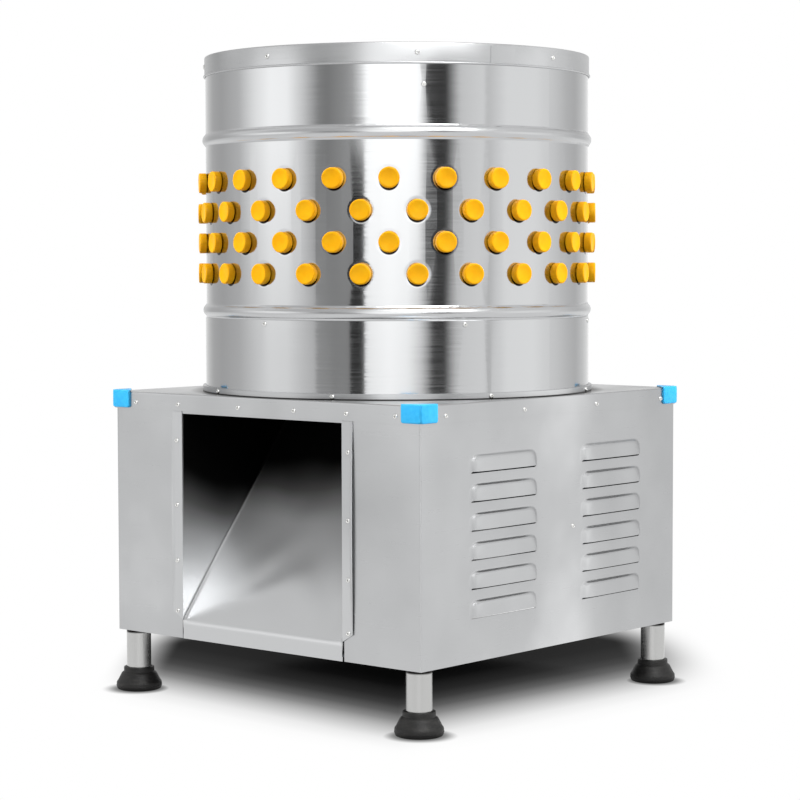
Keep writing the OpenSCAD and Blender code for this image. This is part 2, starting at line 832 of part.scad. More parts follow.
module plate_fingers() {
    color(rubber_yellow) at_plate_fingers() finger(plate_t, plate_finger_l);
}

module sweepers() {
    z0 = z_deck + sweep_gap;
    l = plate_r - hub_r - 12;
    color(steel) for (i = [0 : 2]) rotate([0, 0, i * 120]) translate([hub_r + 4, -sweep_t / 2, z0]) union() {
        cube([l, sweep_t, z_plate - z0]);
        translate([0, 0, z_plate - z0 - sweep_t]) cube([l, 18, sweep_t]);
    }
}

module plate_hub() {
    color(motor_grey) difference() {
        union() {
            translate([0, 0, z_plate - hub_t]) cylinder(r = hub_r, h = hub_t);
            translate([0, 0, z_plate - 22]) cylinder(r = boss_r, h = 22);
        }
        translate([0, 0, z_plate - 30]) cylinder(r = shaft_r + 0.05, h = 40);
        at_hub_bolts() translate([0, 0, z_plate - 20]) cylinder(r = bolt_d / 2 + fit, h = 40);
    }
}

module hex(af, h) {
    cylinder(r = af / 2 / cos(30), h = h, $fn = 6);
}

module hub_fasteners() {
    color(steel) {
        at_hub_bolts() translate([0, 0, z_plate_top]) union() {
            hex(13, 5);
            translate([0, 0, -plate_t - hub_t + 1]) cylinder(r = bolt_d / 2, h = plate_t + hub_t);
        }
        translate([0, 0, z_plate_top]) tube(30, nut_d / 2 + fit, 4);
        translate([0, 0, z_plate_top + 4]) difference() {
            union() {
                hex(24, 13);
                translate([0, 0, 12]) intersection() {
                    sphere(r = 11.5);
                    cylinder(r = 12, h = 12);
                }
            }
            translate([0, 0, -1]) cylinder(r = nut_d / 2 + fit, h = 16);
        }
    }
}

module main_shaft() {
    color(steel) union() {
        translate([0, 0, z_shaft]) cylinder(r = shaft_r, h = z_plate_top - z_shaft);
        translate([0, 0, z_tube + bearing_w + 4]) cylinder(r = shaft_r + 3, h = z_upper_bear - z_tube - bearing_w - 6);
        translate([0, 0, z_plate_top - 1]) cylinder(r = nut_d / 2, h = 18);
    }
}

module groove(r) {
    polygon([[r + 1, -groove_top - groove_slope], [r - groove_h, -groove_foot],
        [r - groove_h, groove_foot], [r + 1, groove_top + groove_slope]]);
}

module driven_pulley() {
    r = driven_d / 2;
    w = pulley_w / 2;
    color(motor_grey) translate([0, 0, z_belt]) difference() {
        rotate_extrude() difference() {
            union() {
                translate([r - 26, -w]) square([26, 2 * w]);
                translate([shaft_r + 0.05, -4]) square([r - 20 - shaft_r, 8]);
                translate([shaft_r + 0.05, -w - 2]) square([20, 2 * w + 8]);
            }
            groove(r);
        }
        for (i = [0 : 4]) rotate([0, 0, i * 72]) translate([(r - 26 + shaft_r + 20) / 2, 0, -10])
            cylinder(r = 24, h = 20);
    }
}

// Spindle housing

module spindle_housing() {
    color(motor_grey) difference() {
        union() {
            translate([0, 0, z_tube]) cylinder(r = tube_r, h = z_tube_top - z_tube);
            translate([-pad_x, -pad_y, z_rail - pad_t]) cube([2 * pad_x, 2 * pad_y, pad_t]);
        }
        translate([0, 0, z_tube - 1]) cylinder(r = bear_r - 4, h = tube_l + 20);
        translate([0, 0, z_tube - 1]) cylinder(r = bear_r, h = bearing_w + 3);
        translate([0, 0, z_upper_bear]) cylinder(r = bear_r, h = 60);
        at_pad_bolts() translate([0, 0, -20]) cylinder(r = bolt_d / 2 + fit, h = 40);
    }
}

module at_pad_bolts() {
    for (i = [-1, 1]) for (j = [-1, 1]) translate([i * (pad_x - 14), j * rail_y, z_rail - pad_t]) children();
}

module bearing() {
    rotate_extrude() difference() {
        translate([shaft_r + 0.08, 0]) square([bear_r - 0.05 - shaft_r - 0.08, bearing_w]);
        for (z = [0, bearing_w]) translate([(shaft_r + bear_r) / 2, z]) square([4, 1.6], center = true);
    }
}

module upper_bearing() {
    color(steel) translate([0, 0, z_upper_bear]) bearing();
}

module lower_bearing() {
    color(steel) translate([0, 0, z_tube + 2]) bearing();
}

module shaft_seal() {
    color(rubber_black) translate([0, 0, z_upper_bear + bearing_w]) rotate_extrude() polygon([
        [bear_r - 0.05, 0], [bear_r - 0.05, 8], [shaft_r + 5, 8], [shaft_r + 0.3, 5],
        [shaft_r + 0.3, 2.5], [shaft_r + 4, 2]]);
}

module drive_bolts() {
    color(steel) {
        at_pad_bolts() translate([0, 0, -6]) union() {
            hex(13, 6);
            cylinder(r = bolt_d / 2, h = pad_t + 7.5);
        }
        at_motor_bolts() union() {
            translate([0, 0, -6]) hex(13, 6);
            translate([0, 0, -1]) cylinder(r = bolt_d / 2, h = 14.5);
        }
    }
}

// Motor and belt

foot_z = [z_frame_motor + 22, z_frame_motor + motor_l - 22];
foot_half = 62;

module at_motor_bolts() {
    for (z = foot_z) for (s = [-1, 1])
        translate([motor_x + s * (foot_half - 12), frame_in - motor_plate_t - 8, z]) rotate([-90, 0, 0]) children();
}

module motor_plate() {
    slot_l = 24;
    w = 2 * foot_half + 2 * slot_l;
    color(motor_grey) difference() {
        translate([motor_x - w / 2, frame_in - motor_plate_t, z_frame]) cube([w, motor_plate_t, z_under - z_frame]);
        at_motor_bolts() translate([0, 0, 4]) linear_extrude(20) {
            square([slot_l, bolt_d + 1], center = true);
            for (s = [-1, 1]) translate([s * slot_l / 2, 0]) circle(d = bolt_d + 1);
        }
    }
}

module motor_frame() {
    color(motor_grey) translate([motor_x, motor_y, 0]) difference() {
        union() {
            translate([0, 0, z_frame_motor]) cylinder(r = core_r, h = motor_l);
            for (i = [0 : fin_n - 1]) rotate([0, 0, (i + 0.5) * 360 / fin_n])
                translate([core_r - 2, -1.25, z_frame_motor + 4]) cube([motor_r - core_r + 2, 2.5, motor_l - 8]);
            for (z = foot_z) translate([-foot_half, 0, z - 12])
                cube([2 * foot_half, motor_r + 2, 24]);
        }
        translate([0, 0, z_frame_motor - 1]) cylinder(r = core_r - 8, h = motor_l + 2);
        for (z = foot_z) for (s = [-1, 1]) {
            translate([s * (foot_half - 12) - (s > 0 ? 14 : 40), -1, z - 13]) cube([54, motor_r - 5, 26]);
            translate([s * (foot_half - 12), 0, z]) rotate([-90, 0, 0]) cylinder(r = bolt_d / 2 + fit, h = 200);
        }
    }
}

module motor_shield() {
    color(motor_grey) translate([motor_x, motor_y, z_shield]) rotate_extrude() polygon([
        [motor_shaft_r + run, 0], [34, 0], [40, 8], [core_r - 6, 10], [core_r, 14],
        [core_r, shield_t], [core_r - 14, shield_t], [core_r - 14, 16], [motor_shaft_r + run, 16]]);
}

module fan_cowl() {
    r = core_r + 3;
    color(motor_grey) translate([motor_x, motor_y, z_cowl]) difference() {
        rotate_extrude() polygon([[core_r - 8, 0], [r, 0], [r, cowl_h - 8], [r - 8, cowl_h], [0, cowl_h],
            [0, cowl_h - 1.5], [r - 8.6, cowl_h - 1.5], [r - 1.5, cowl_h - 8.6], [r - 1.5, 1.5],
            [core_r - 8, 1.5]]);
        for (k = [1 : 3]) for (i = [0 : 6 * k - 1]) rotate([0, 0, i * 60 / k])
            translate([k * 15, 0, cowl_h - 4]) cylinder(r = 4, h = 8);
    }
}

module terminal_box() {
    color(motor_grey) difference() {
        translate([box_x, motor_y - box_y / 2, lead_z - box_h / 2]) cube([box_w, box_y, box_h]);
        translate([motor_x, motor_y, z_shield]) cylinder(r = motor_r + fit, h = 300);
        translate([lead_end_x, motor_y + box_y / 2 - 12, lead_z]) rotate([-90, 0, 0])
            cylinder(r = lead_r + fit, h = 20);
    }
}

module motor_rotor() {
    z0 = z_belt - pulley_w / 2 - 4;
    color(steel) translate([motor_x, motor_y, 0]) union() {
        translate([0, 0, z0]) cylinder(r = motor_shaft_r, h = z_cowl + 34 - z0);
        translate([0, 0, z_frame_motor + 12]) cylinder(r = core_r - 14, h = motor_l - 24);
        translate([0, 0, z_cowl + 10]) cylinder(r = 22, h = 22);
        for (i = [0 : 7]) rotate([0, 0, i * 45]) translate([18, -1.5, z_cowl + 10]) cube([core_r - 28, 3, 24]);
    }
}

module motor_pulley() {
    r = motor_pulley_d / 2;
    w = pulley_w / 2;
    color(motor_grey) translate([motor_x, motor_y, z_belt]) rotate_extrude() difference() {
        translate([motor_shaft_r + 0.05, -w]) square([r - motor_shaft_r - 0.05, 2 * w]);
        groove(r);
    }
}

module belt_section() {
    polygon([[0, -belt_top], [0, belt_top], [-belt_h, belt_foot], [-belt_h, -belt_foot]]);
}

module belt_half() {
    lap = 0.4;
    rotate([0, 0, wrap]) translate([belt_r1, lap, 0]) rotate([90, 0, 0])
        linear_extrude(centre_l * sin(wrap) + 2 * lap) belt_section();
}

module drive_belt() {
    color(rubber_black) translate([0, 0, z_belt]) rotate([0, 0, centre_turn]) union() {
        rotate([0, 0, wrap]) rotate_extrude(angle = 360 - 2 * wrap) translate([belt_r1, 0]) belt_section();
        translate([centre_l, 0, 0]) rotate([0, 0, -wrap]) rotate_extrude(angle = 2 * wrap)
            translate([belt_r2, 0]) belt_section();
        belt_half();
        mirror([0, 1, 0]) belt_half();
    }
}

// Electrics

module at_buttons(s) {
    translate([-pan_o - switch_face, switch_y + s * button_gap / 2, switch_mid]) rotate([0, -90, 0]) children();
}

module switch_unit() {
    face = [switch_body[1] + 12, switch_body[2] + 14];
    color(rubber_black) difference() {
        union() {
            translate([-pan_o, switch_y - switch_body[1] / 2, switch_mid - switch_body[2] / 2])
                cube(switch_body);
            translate([-pan_o, switch_y + face[0] / 2, switch_mid - face[1] / 2]) rotate([90, 0, -90])
                linear_extrude(switch_face) round_square(face[0], face[1], 6);
        }
        for (s = [-1, 1]) at_buttons(s) translate([0, 0, -16]) cylinder(r = button_r + run, h = 30);
        translate([-lead_off, switch_y + switch_body[1] / 2 - 12, lead_z]) rotate([-90, 0, 0])
            cylinder(r = lead_r + fit, h = 20);
    }
}

module button() {
    rotate_extrude() polygon([[0, button_travel + 1 - 16], [button_r, button_travel + 1 - 16],
        [button_r, button_proud - 1], [button_r - 1, button_proud], [button_r - 3, button_proud],
        [button_r - 4.5, button_proud - 0.6], [0, button_proud - 0.6]]);
}

module start_button() {
    color([0.1, 0.6, 0.25]) at_buttons(1) button();
}

module stop_button() {
    color([0.8, 0.1, 0.1]) at_buttons(-1) button();
}

module cable_grommet() {
    r = grommet_d / 2;
    color(rubber_black) translate([grommet_x, pan_i, grommet_z]) rotate([-90, 0, 0]) rotate_extrude()
        polygon([[r, -3.5], [r + 5, -3.5], [r + 6, -2.5], [r + 6, -fit], [r + 3, -fit],
            [r + 3, sheet_t + fit], [r + 6, sheet_t + fit], [r + 6, sheet_t + 2.5],
            [r + 4.5, sheet_t + 4], [r, sheet_t + 4]]);
}

module lead_turn() {
    rotate_extrude(angle = 90) translate([lead_bend, 0]) circle(r = lead_r);
}

module motor_lead() {
    y0 = switch_y + switch_body[1] / 2 - 10;
    y1 = lead_off - lead_bend;
    y2 = motor_y + box_y / 2 - 10;
    color(rubber_black) translate([0, 0, lead_z]) union() {
        translate([-lead_off, y0, 0]) rotate([-90, 0, 0]) cylinder(r = lead_r, h = y1 - y0);
        translate([lead_bend - lead_off, y1, 0]) rotate([0, 0, 90]) lead_turn();
        translate([lead_bend - lead_off, lead_off, 0]) rotate([0, 90, 0])
            cylinder(r = lead_r, h = lead_end_x - 2 * lead_bend + lead_off);
        translate([lead_end_x - lead_bend, y1, 0]) lead_turn();
        translate([lead_end_x, y2, 0]) rotate([-90, 0, 0]) cylinder(r = lead_r, h = y1 - y2);
    }
}

deck();
right_panel();
left_panel();
rear_panel();
chute_floor();
chute_left_wall();
chute_right_wall();
chute_header();
frame();
spindle_rails();
leg_front_left();
leg_front_right();
leg_rear_left();
leg_rear_right();
foot_front_left();
foot_front_right();
foot_rear_left();
foot_rear_right();
guard_front_left();
guard_front_right();
guard_rear_left();
guard_rear_right();
base_ring();
drum_collar();
drum_shell();
rim_band();
finger_row_1();
finger_row_2();
finger_row_3();
finger_row_4();
panel_rivets();
chute_rivets();
drum_rivets();
rear_screws();
spindle_housing();
upper_bearing();
lower_bearing();
shaft_seal();
drive_bolts();
motor_plate();
motor_frame();
motor_shield();
fan_cowl();
terminal_box();
drive_belt();
switch_unit();
cable_grommet();
motor_lead();
feather_plate();
plate_fingers();
sweepers();
plate_hub();
hub_fasteners();
main_shaft();
driven_pulley();
motor_rotor();
motor_pulley();
start_button();
stop_button();
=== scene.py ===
import json
import math
import random

import bpy
from mathutils import Matrix, Vector


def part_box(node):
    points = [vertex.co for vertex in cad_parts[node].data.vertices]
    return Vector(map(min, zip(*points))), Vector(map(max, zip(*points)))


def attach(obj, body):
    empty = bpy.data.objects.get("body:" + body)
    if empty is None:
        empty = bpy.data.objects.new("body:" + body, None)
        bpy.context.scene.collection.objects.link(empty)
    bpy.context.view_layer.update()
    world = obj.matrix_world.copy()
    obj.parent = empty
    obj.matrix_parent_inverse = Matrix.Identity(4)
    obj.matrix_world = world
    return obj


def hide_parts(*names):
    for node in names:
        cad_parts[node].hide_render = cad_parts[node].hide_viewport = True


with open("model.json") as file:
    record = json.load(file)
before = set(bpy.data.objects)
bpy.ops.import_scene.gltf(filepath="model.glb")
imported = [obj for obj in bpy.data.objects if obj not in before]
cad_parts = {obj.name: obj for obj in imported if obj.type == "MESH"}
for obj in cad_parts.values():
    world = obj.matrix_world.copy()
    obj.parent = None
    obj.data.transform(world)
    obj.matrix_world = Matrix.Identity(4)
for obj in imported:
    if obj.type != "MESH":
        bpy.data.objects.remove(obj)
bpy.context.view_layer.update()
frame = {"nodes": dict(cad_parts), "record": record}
nodes = frame["nodes"]
scene = bpy.context.scene
scene.view_settings.view_transform = "Standard"
MM = 0.001
NEAR = 0.1 * MM
WHITE = (1, 1, 1, 1)

# Sizes in metres, the first six as the frame gives them
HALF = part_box("deck")[1][0]
Z_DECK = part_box("deck")[1][2]
Z_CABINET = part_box("right_panel")[0][2]
Z_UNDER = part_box("right_panel")[1][2]
Z_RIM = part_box("rim_band")[1][2]
Z_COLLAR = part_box("drum_collar")[1][2]
SHEET = 1.2 * MM
PANEL = HALF - SHEET
DRUM_R = 251.2 * MM
LEG = 243 * MM

# Camera: a long lens from the front right corner, a little above the deck.
VIEW_TURN = math.radians(40.79)
VIEW_FALL = math.radians(3.43)
VIEW_ROLL = math.radians(-0.12)
VIEW_REACH = 3.159
VIEW_HEIGHT = 0.5697
camera_data = bpy.data.cameras.new("camera")
camera_data.sensor_width = 36
camera_data.lens = 107.36
camera_data.shift_x = 0.0033
camera = bpy.data.objects.new("camera", camera_data)
camera.location = (VIEW_REACH * math.sin(VIEW_TURN), -VIEW_REACH * math.cos(VIEW_TURN), VIEW_HEIGHT)
ahead = Vector((-math.sin(VIEW_TURN) * math.cos(VIEW_FALL),
                math.cos(VIEW_TURN) * math.cos(VIEW_FALL), -math.sin(VIEW_FALL)))
camera.rotation_euler = (ahead.to_track_quat("-Z", "Y").to_matrix()
                         @ Matrix.Rotation(VIEW_ROLL, 3, "Z")).to_euler()
scene.collection.objects.link(camera)
scene.camera = camera


def linear(hex_colour):
    """An sRGB hex colour as the linear colour that a shader takes."""
    parts = [int(hex_colour[i:i + 2], 16) / 255 for i in (1, 3, 5)]
    return tuple(c / 12.92 if c <= 0.04045 else ((c + 0.055) / 1.055) ** 2.4 for c in parts) + (1,)


def grey(level):
    return level, level, level, 1


def add(tree, kind, values=None, links=None, **settings):
    """A shader node with its settings, socket values and incoming links."""
    new = tree.nodes.new("ShaderNode" + kind)
    for name, value in settings.items():
        setattr(new, name, value)
    for name, value in (values or {}).items():
        new.inputs[name].default_value = value
    for name, (source, socket) in (links or {}).items():
        tree.links.new(source.outputs[socket], new.inputs[name])
    return new


def output(source):
    """A node's first output, or the (node, socket) pair that was given."""
    return source if isinstance(source, tuple) else (source, 0)


def calc(tree, operation, *terms):
    """A maths node over terms, each a number, a node or a (node, socket) pair."""
    values = {i: term for i, term in enumerate(terms) if isinstance(term, (int, float))}
    links = {i: output(term) for i, term in enumerate(terms) if i not in values}
    return add(tree, "Math", values, links, operation=operation)


def vector(tree, operation, *terms):
    """A vector maths node over terms, each a triple of numbers or a (node, socket) pair."""
    values = {i: term for i, term in enumerate(terms) if len(term) == 3}
    links = {i: term for i, term in enumerate(terms) if i not in values}
    return add(tree, "VectorMath", values, links, operation=operation)


def ranged(tree, source, start, end, low=0.0, high=1.0, smooth=False):
    """A value carried from one range to another, and held at its ends."""
    return add(tree, "MapRange", {1: start, 2: end, 3: low, 4: high}, {0: output(source)},
               interpolation_type="SMOOTHSTEP" if smooth else "LINEAR")


def stops(ramp, colours):
    """Fills a colour ramp from (place, colour) pairs."""
    band = ramp.color_ramp
    while len(band.elements) > 1:
        band.elements.remove(band.elements[-1])
    band.elements[0].position, band.elements[0].color = colours[0]
    for place, colour in colours[1:]:
        band.elements.new(place).color = colour


def toned(tree, source, colours):
    """A colour ramp over a value, from (place, hex colour) pairs."""
    ramp = add(tree, "ValToRGB", links={0: (source, 0)})
    stops(ramp, [(share, linear(colour)) for share, colour in colours])
    return ramp


def noise(tree, place, scale, detail, roughness=0.5):
    """Noise in object coordinates, by one scale or by one for each axis, in waves to the metre."""
    where = (place, "Object")
    if isinstance(scale, tuple):
        where = (add(tree, "Mapping", {"Scale": scale}, {"Vector": where}), 0)
        scale = 1.0
    return add(tree, "TexNoise", {"Scale": scale, "Detail": detail, "Roughness": roughness},
               {"Vector": where})


def bump(tree, height, strength, distance, over=None):
    """A bump of a height in millimetres, over another normal if one is given."""
    links = {"Height": (height, 0)}
    if over:
        links["Normal"] = (over, 0)
    return add(tree, "Bump", {"Strength": strength, "Distance": distance * MM}, links)


def new_material(name):
    """An empty node material, its tree and its object coordinates."""
    made = bpy.data.materials.new(name)
    made.use_nodes = True
    made.node_tree.nodes.clear()
    return made, made.node_tree, add(made.node_tree, "TexCoord")


def surface(tree, kind, values=None, links=None):
    """A material's shader, joined to its output."""
    shader = add(tree, kind, values, links)
    add(tree, "OutputMaterial", links={"Surface": (shader, 0)})


def metal(tree, tone, satin, normal):
    surface(tree, "BsdfPrincipled", {"Metallic": 1.0},
            {"Base Color": (tone, 0), "Roughness": (satin, 0), "Normal": (normal, 0)})


def extrude(*shift):
    """Draws the selected part of a mesh out by a shift."""
    bpy.ops.mesh.extrude_region_move(TRANSFORM_OT_translate={"value": shift})


def to_camera(tree, place):
    """Object coordinates, turned so that X points at the camera."""
    return add(tree, "VectorRotate", {"Angle": math.pi / 2 - VIEW_TURN}, {"Vector": (place, "Object")},
               rotation_type="Z_AXIS")


# Studio: a white floor with a painted shadow, a white surround whose light falls from above, and soft
# boxes and black flags all round the machine, which only glossy surfaces see.
world = bpy.data.worlds.new("white surround")
scene.world = world
world.use_nodes = True
tree = world.node_tree
tree.nodes.clear()
sky = add(tree, "TexCoord")
split = add(tree, "SeparateXYZ", links={0: (sky, "Generated")})
height = ranged(tree, (split, "Z"), 0.2, 0.6, 0.0, 0.95, smooth=True)
surround = add(tree, "Background", {"Color": WHITE, "Strength": 1.0})
room_light = add(tree, "Background", {"Color": WHITE}, {"Strength": (height, 0)})
ray = add(tree, "LightPath")
seen = calc(tree, "MAXIMUM", (ray, "Is Camera Ray"), (ray, "Is Glossy Ray"))
seen_through = calc(tree, "MAXIMUM", seen, (ray, "Is Transmission Ray"))
unscattered = calc(tree, "LESS_THAN", (ray, "Diffuse Depth"), 0.5)
shown = calc(tree, "MULTIPLY", seen_through, unscattered)
mixed = add(tree, "MixShader", links={0: (shown, 0), 1: (room_light, 0), 2: (surround, 0)})
add(tree, "OutputWorld", links={"Surface": (mixed, 0)})

# A painted shadow, set by place on the floor, falls away from the camera: it deepens behind the cabinet's
# two front edges, thins out to plain white at the sides and at the rear, and gathers round each foot.
FLOOR_R = 6
PAINTED_SHADOW_DEPTH = [(0.0, 0.998), (0.1, 0.996), (0.27, 0.98), (0.36, 0.955), (0.455, 0.89), (0.545, 0.75),
                (0.635, 0.52), (0.78, 0.17), (0.89, 0.04), (1.0, 0.0)]
shadow_painted_floor, tree, place = new_material("matt white studio floor with painted shadow")
turned = to_camera(tree, place)
split = add(tree, "SeparateXYZ", links={0: (turned, 0)})
aside = calc(tree, "ABSOLUTE", (split, "Y"))
forward = calc(tree, "ADD", (split, "X"), aside)
depth = ranged(tree, forward, -0.05, 0.5)
front_shade = add(tree, "ValToRGB", links={0: (depth, 0)})
stops(front_shade, [(share, grey(level)) for share, level in PAINTED_SHADOW_DEPTH])
left_shade = ranged(tree, (split, "Y"), -0.32, -0.41, 1.0, 0.0, smooth=True)
right_shade = ranged(tree, (split, "Y"), 0.32, 0.46, 1.0, 0.0, smooth=True)
side_shade = calc(tree, "MULTIPLY", left_shade, right_shade)
behind = vector(tree, "DISTANCE", (turned, 0), (-0.1, 0, 0))
rear_shade = ranged(tree, (behind, "Value"), 0.4, 0.6, 1.0, 0.0, smooth=True)
outer = calc(tree, "MULTIPLY", side_shade, rear_shade)
under = calc(tree, "MULTIPLY", front_shade, outer)
quarter = vector(tree, "ABSOLUTE", (place, "Object"))
from_foot = vector(tree, "DISTANCE", (quarter, 0), (LEG, LEG, 0))
# A dark patch round each foot: painted contact shadow.
painted_contact_shadow = ranged(tree, (from_foot, "Value"), 27 * MM, 52 * MM, 0.8, 0.0, smooth=True)
shade = calc(tree, "MAXIMUM", under, painted_contact_shadow)
# Under the painted shadow the floor is matt and near black.
matt = add(tree, "BsdfDiffuse", {"Color": grey(0.02)})
ray = add(tree, "LightPath")
# Far to the left the floor shows a little greyer to glossy rays only: painted shade in what the metal
# reflects.
left_reflected_shade = ranged(tree, (split, "Y"), -2.4, -0.8, -0.14, 0.0)
in_metal = calc(tree, "MULTIPLY_ADD", left_reflected_shade, (ray, "Is Glossy Ray"), 1.0)
white = add(tree, "Emission", {"Color": WHITE}, {"Strength": (in_metal, 0)})
floor_seen = add(tree, "MixShader", links={0: (shade, 0), 1: (white, 0), 2: (matt, 0)})
floor_bounce = add(tree, "BsdfDiffuse", {"Color": grey(0.38)})
scattered = calc(tree, "GREATER_THAN", (ray, "Diffuse Depth"), 0.5)
surface(tree, "MixShader", links={0: (scattered, 0), 1: (floor_seen, 0), 2: (floor_bounce, 0)})
bpy.ops.object.select_all(action="DESELECT")
bpy.ops.mesh.primitive_circle_add(vertices=96, radius=FLOOR_R, fill_type="NGON")
floor = bpy.context.object
floor.name = "studio_floor"
floor.data.materials.append(shadow_painted_floor)

# Brightness of the soft boxes by angle from the camera, near the floor, at the height of the drum's
# top, and overhead.
LOW_BOXES = [(-180, 1.1), (-140, 0.58), (-125, 0.56), (-105, 0.68), (-91, 0.92), (-78, 1.16),
             (-66, 1.13), (-55, 0.88), (-47.5, 0.74), (-46.5, 0.46), (-35, 0.35), (-27, 0.36), (-20, 1.1),
             (-17, 1.45), (-4, 1.65), (6, 1.5), (13, 1.0), (17, 0.5), (20, 0.08), (27, 0.06), (31, 0.6),
             (35, 1.0), (51, 1.1), (52.5, 0.66), (58, 1.0), (66, 1.22), (85, 1.24), (103, 1.0),
             (118, 0.8), (130, 0.68), (165, 1.0)]
HIGH_BOXES = [(-180, 1.1), (-140, 0.58), (-125, 0.56), (-105, 0.75), (-91, 1.26), (-78, 1.6),
              (-66, 1.56), (-55, 1.0), (-50, 0.67), (-45, 0.37), (-40, 0.31), (-30, 0.45), (-25, 0.6),
              (-20, 1.2), (-17, 1.9), (12, 1.95), (17, 0.7), (20, 0.07), (28, 0.05), (32, 0.45), (36, 0.95),
              (51, 1.12), (52.5, 0.85), (58, 1.0), (66, 1.2), (88, 1.2), (103, 1.0), (118, 0.76), (130, 0.66),
              (165, 1.0)]
OVERHEAD = [(-180, 0.6), (-125, 0.6), (-115, 0.95), (-95, 0.95), (-78, 0.7), (-26, 0.6), (-16, 1.5),
            (40, 1.5), (52, 0.9), (120, 0.9), (140, 0.6)]
BRIGHTEST = 2.0
RING_R = 4.4
RING_FOOT, RING_TOP = -0.5, 1.8
RING_ROOF = 2.8
ring_light, tree, place = new_material("soft boxes and black flags")
turned = to_camera(tree, place)
split = add(tree, "SeparateXYZ", links={0: (turned, 0)})
bearing = calc(tree, "ARCTAN2", (split, "Y"), (split, "X"))
along = ranged(tree, bearing, -math.pi, math.pi)
levels = []
for boxes in (LOW_BOXES, HIGH_BOXES, OVERHEAD):
    bands = add(tree, "ValToRGB", links={0: (along, 0)})
    stops(bands, [((turn + 180) / 360, grey(level / BRIGHTEST)) for turn, level in boxes])
    levels.append(bands)
to_high = ranged(tree, (split, "Z"), 0.3, 0.95)
to_over = ranged(tree, (split, "Z"), 1.35, 2.2, smooth=True)
upright = add(tree, "MixRGB", links={0: (to_high, 0), 1: (levels[0], 0), 2: (levels[1], 0)})
whole = add(tree, "MixRGB", links={0: (to_over, 0), 1: (upright, 0), 2: (levels[2], 0)})
ray = add(tree, "LightPath")
unscattered = calc(tree, "LESS_THAN", (ray, "Diffuse Depth"), 0.5)
power = calc(tree, "MULTIPLY", unscattered, BRIGHTEST)
surface(tree, "Emission", links={"Color": (whole, 0), "Strength": (power, 0)})
bpy.ops.mesh.primitive_cylinder_add(vertices=180, radius=RING_R, depth=RING_TOP - RING_FOOT,
                                    end_fill_type="NOTHING", location=(0, 0, (RING_TOP + RING_FOOT) / 2))
softboxes = bpy.context.object
softboxes.name = "softbox_ring"
bpy.ops.object.transform_apply(location=True)
bpy.ops.object.mode_set(mode="EDIT")
bpy.ops.mesh.select_mode(type="VERT")
bpy.ops.mesh.select_all(action="DESELECT")
bpy.ops.object.mode_set(mode="OBJECT")
for vert in softboxes.data.vertices:
    vert.select = vert.co.z > RING_TOP - NEAR
bpy.ops.object.mode_set(mode="EDIT")
extrude(0, 0, RING_ROOF)
bpy.ops.transform.resize(value=(0.2, 0.2, 1))
bpy.ops.object.mode_set(mode="OBJECT")
softboxes.data.materials.append(ring_light)


def glowing_card(name, finish, colour, strength, size, turn, reach, height, tilt):
    """A flat card of one even glow, at an angle round the machine, a reach and a height."""
    made, tree, _ = new_material(finish)
    surface(tree, "Emission", {"Color": colour, "Strength": strength})
    bpy.ops.mesh.primitive_plane_add(
        size=1, location=(reach * math.sin(turn), -reach * math.cos(turn), height), rotation=tilt)
    card = bpy.context.object
    card.name = name
    card.scale = (*size, 1)
    card.data.materials.append(made)
    return card


# A black flag beside the front soft box, and a bright card overhead that shows in the chute's left side.
FLAG_TURN = VIEW_TURN - math.radians(22.6)
CARD_TURN = math.radians(66)
flag = glowing_card("black_flag", "black flag cloth", linear("#343434"), strength=1.0, size=(0.62, 1.24),
                    turn=FLAG_TURN, reach=4.2, height=0.26, tilt=(math.pi / 2, 0, FLAG_TURN))
chute_card = glowing_card("chute_card", "white bounce card", WHITE, strength=6.0, size=(1.5, 1.5),
                          turn=CARD_TURN, reach=2.0, height=2.2,
                          tilt=(math.radians(-45), 0, CARD_TURN + math.pi))
for card in (softboxes, flag, chute_card):
    card.visible_camera = False
    card.visible_diffuse = False
    card.visible_shadow = False

# Lamps by angle from the camera, reach, height, size and power.
LAMPS = {"front_light": (0, 2.9, 2.5, 2.0, 8), "left_light": (-72, 2.9, 2.4, 2.0, 96),
         "right_light": (72, 2.9, 2.4, 2.0, 120)}
LAMP_AIM = Vector((0, 0, 0.4))
for name, (turn, reach, height, size, power) in LAMPS.items():
    lamp = bpy.data.lights.new(name, "AREA")
    lamp.size = size
    lamp.energy = power
    lamp_object = bpy.data.objects.new(name, lamp)
    turn = VIEW_TURN + math.radians(turn)
    lamp_object.location = (reach * math.sin(turn), -reach * math.cos(turn), height)
    to_machine = LAMP_AIM - lamp_object.location
    lamp_object.rotation_euler = to_machine.to_track_quat("-Z", "Y").to_euler()
    lamp_object.visible_glossy = False
    scene.collection.objects.link(lamp_object)


# Cold-rolled stainless sheet, brushed round the drum: mirror bright, with level hair lines that fray the
# edges of what it reflects, duller on the rolled beads, with painted shade, a dark crescent under each
# finger's head. Real hair lines are about 0.2 mm apart and are drawn about 1.4 mm apart to show.
BEAD_Z = (501 * MM, 722 * MM)
ROW_COUNT = 23
ROW_PITCH = 39 * MM
ROW_TURN = math.radians(-51.4)
ROW_Z = [sum(c[2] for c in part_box(f"finger_row_{i}")) / 2 for i in (1, 2, 3, 4)]
CELL = math.tau / ROW_COUNT
HEAD_SHADE_SAG = 3.4 * MM
drum_steel, tree, place = new_material("brushed stainless drum sheet")
hair = noise(tree, place, (8, 8, 700), 6.0, 0.65)
sheen = ranged(tree, hair, 0.3, 0.7, 0.06, 0.14)
split = add(tree, "SeparateXYZ", links={0: (place, "Object")})
off_beads = [calc(tree, "ABSOLUTE", calc(tree, "SUBTRACT", (split, "Z"), z)) for z in BEAD_Z]
off_bead = calc(tree, "MINIMUM", *off_beads)
rolled = ranged(tree, off_bead, 7 * MM, 12 * MM, 0.25, 0.0)
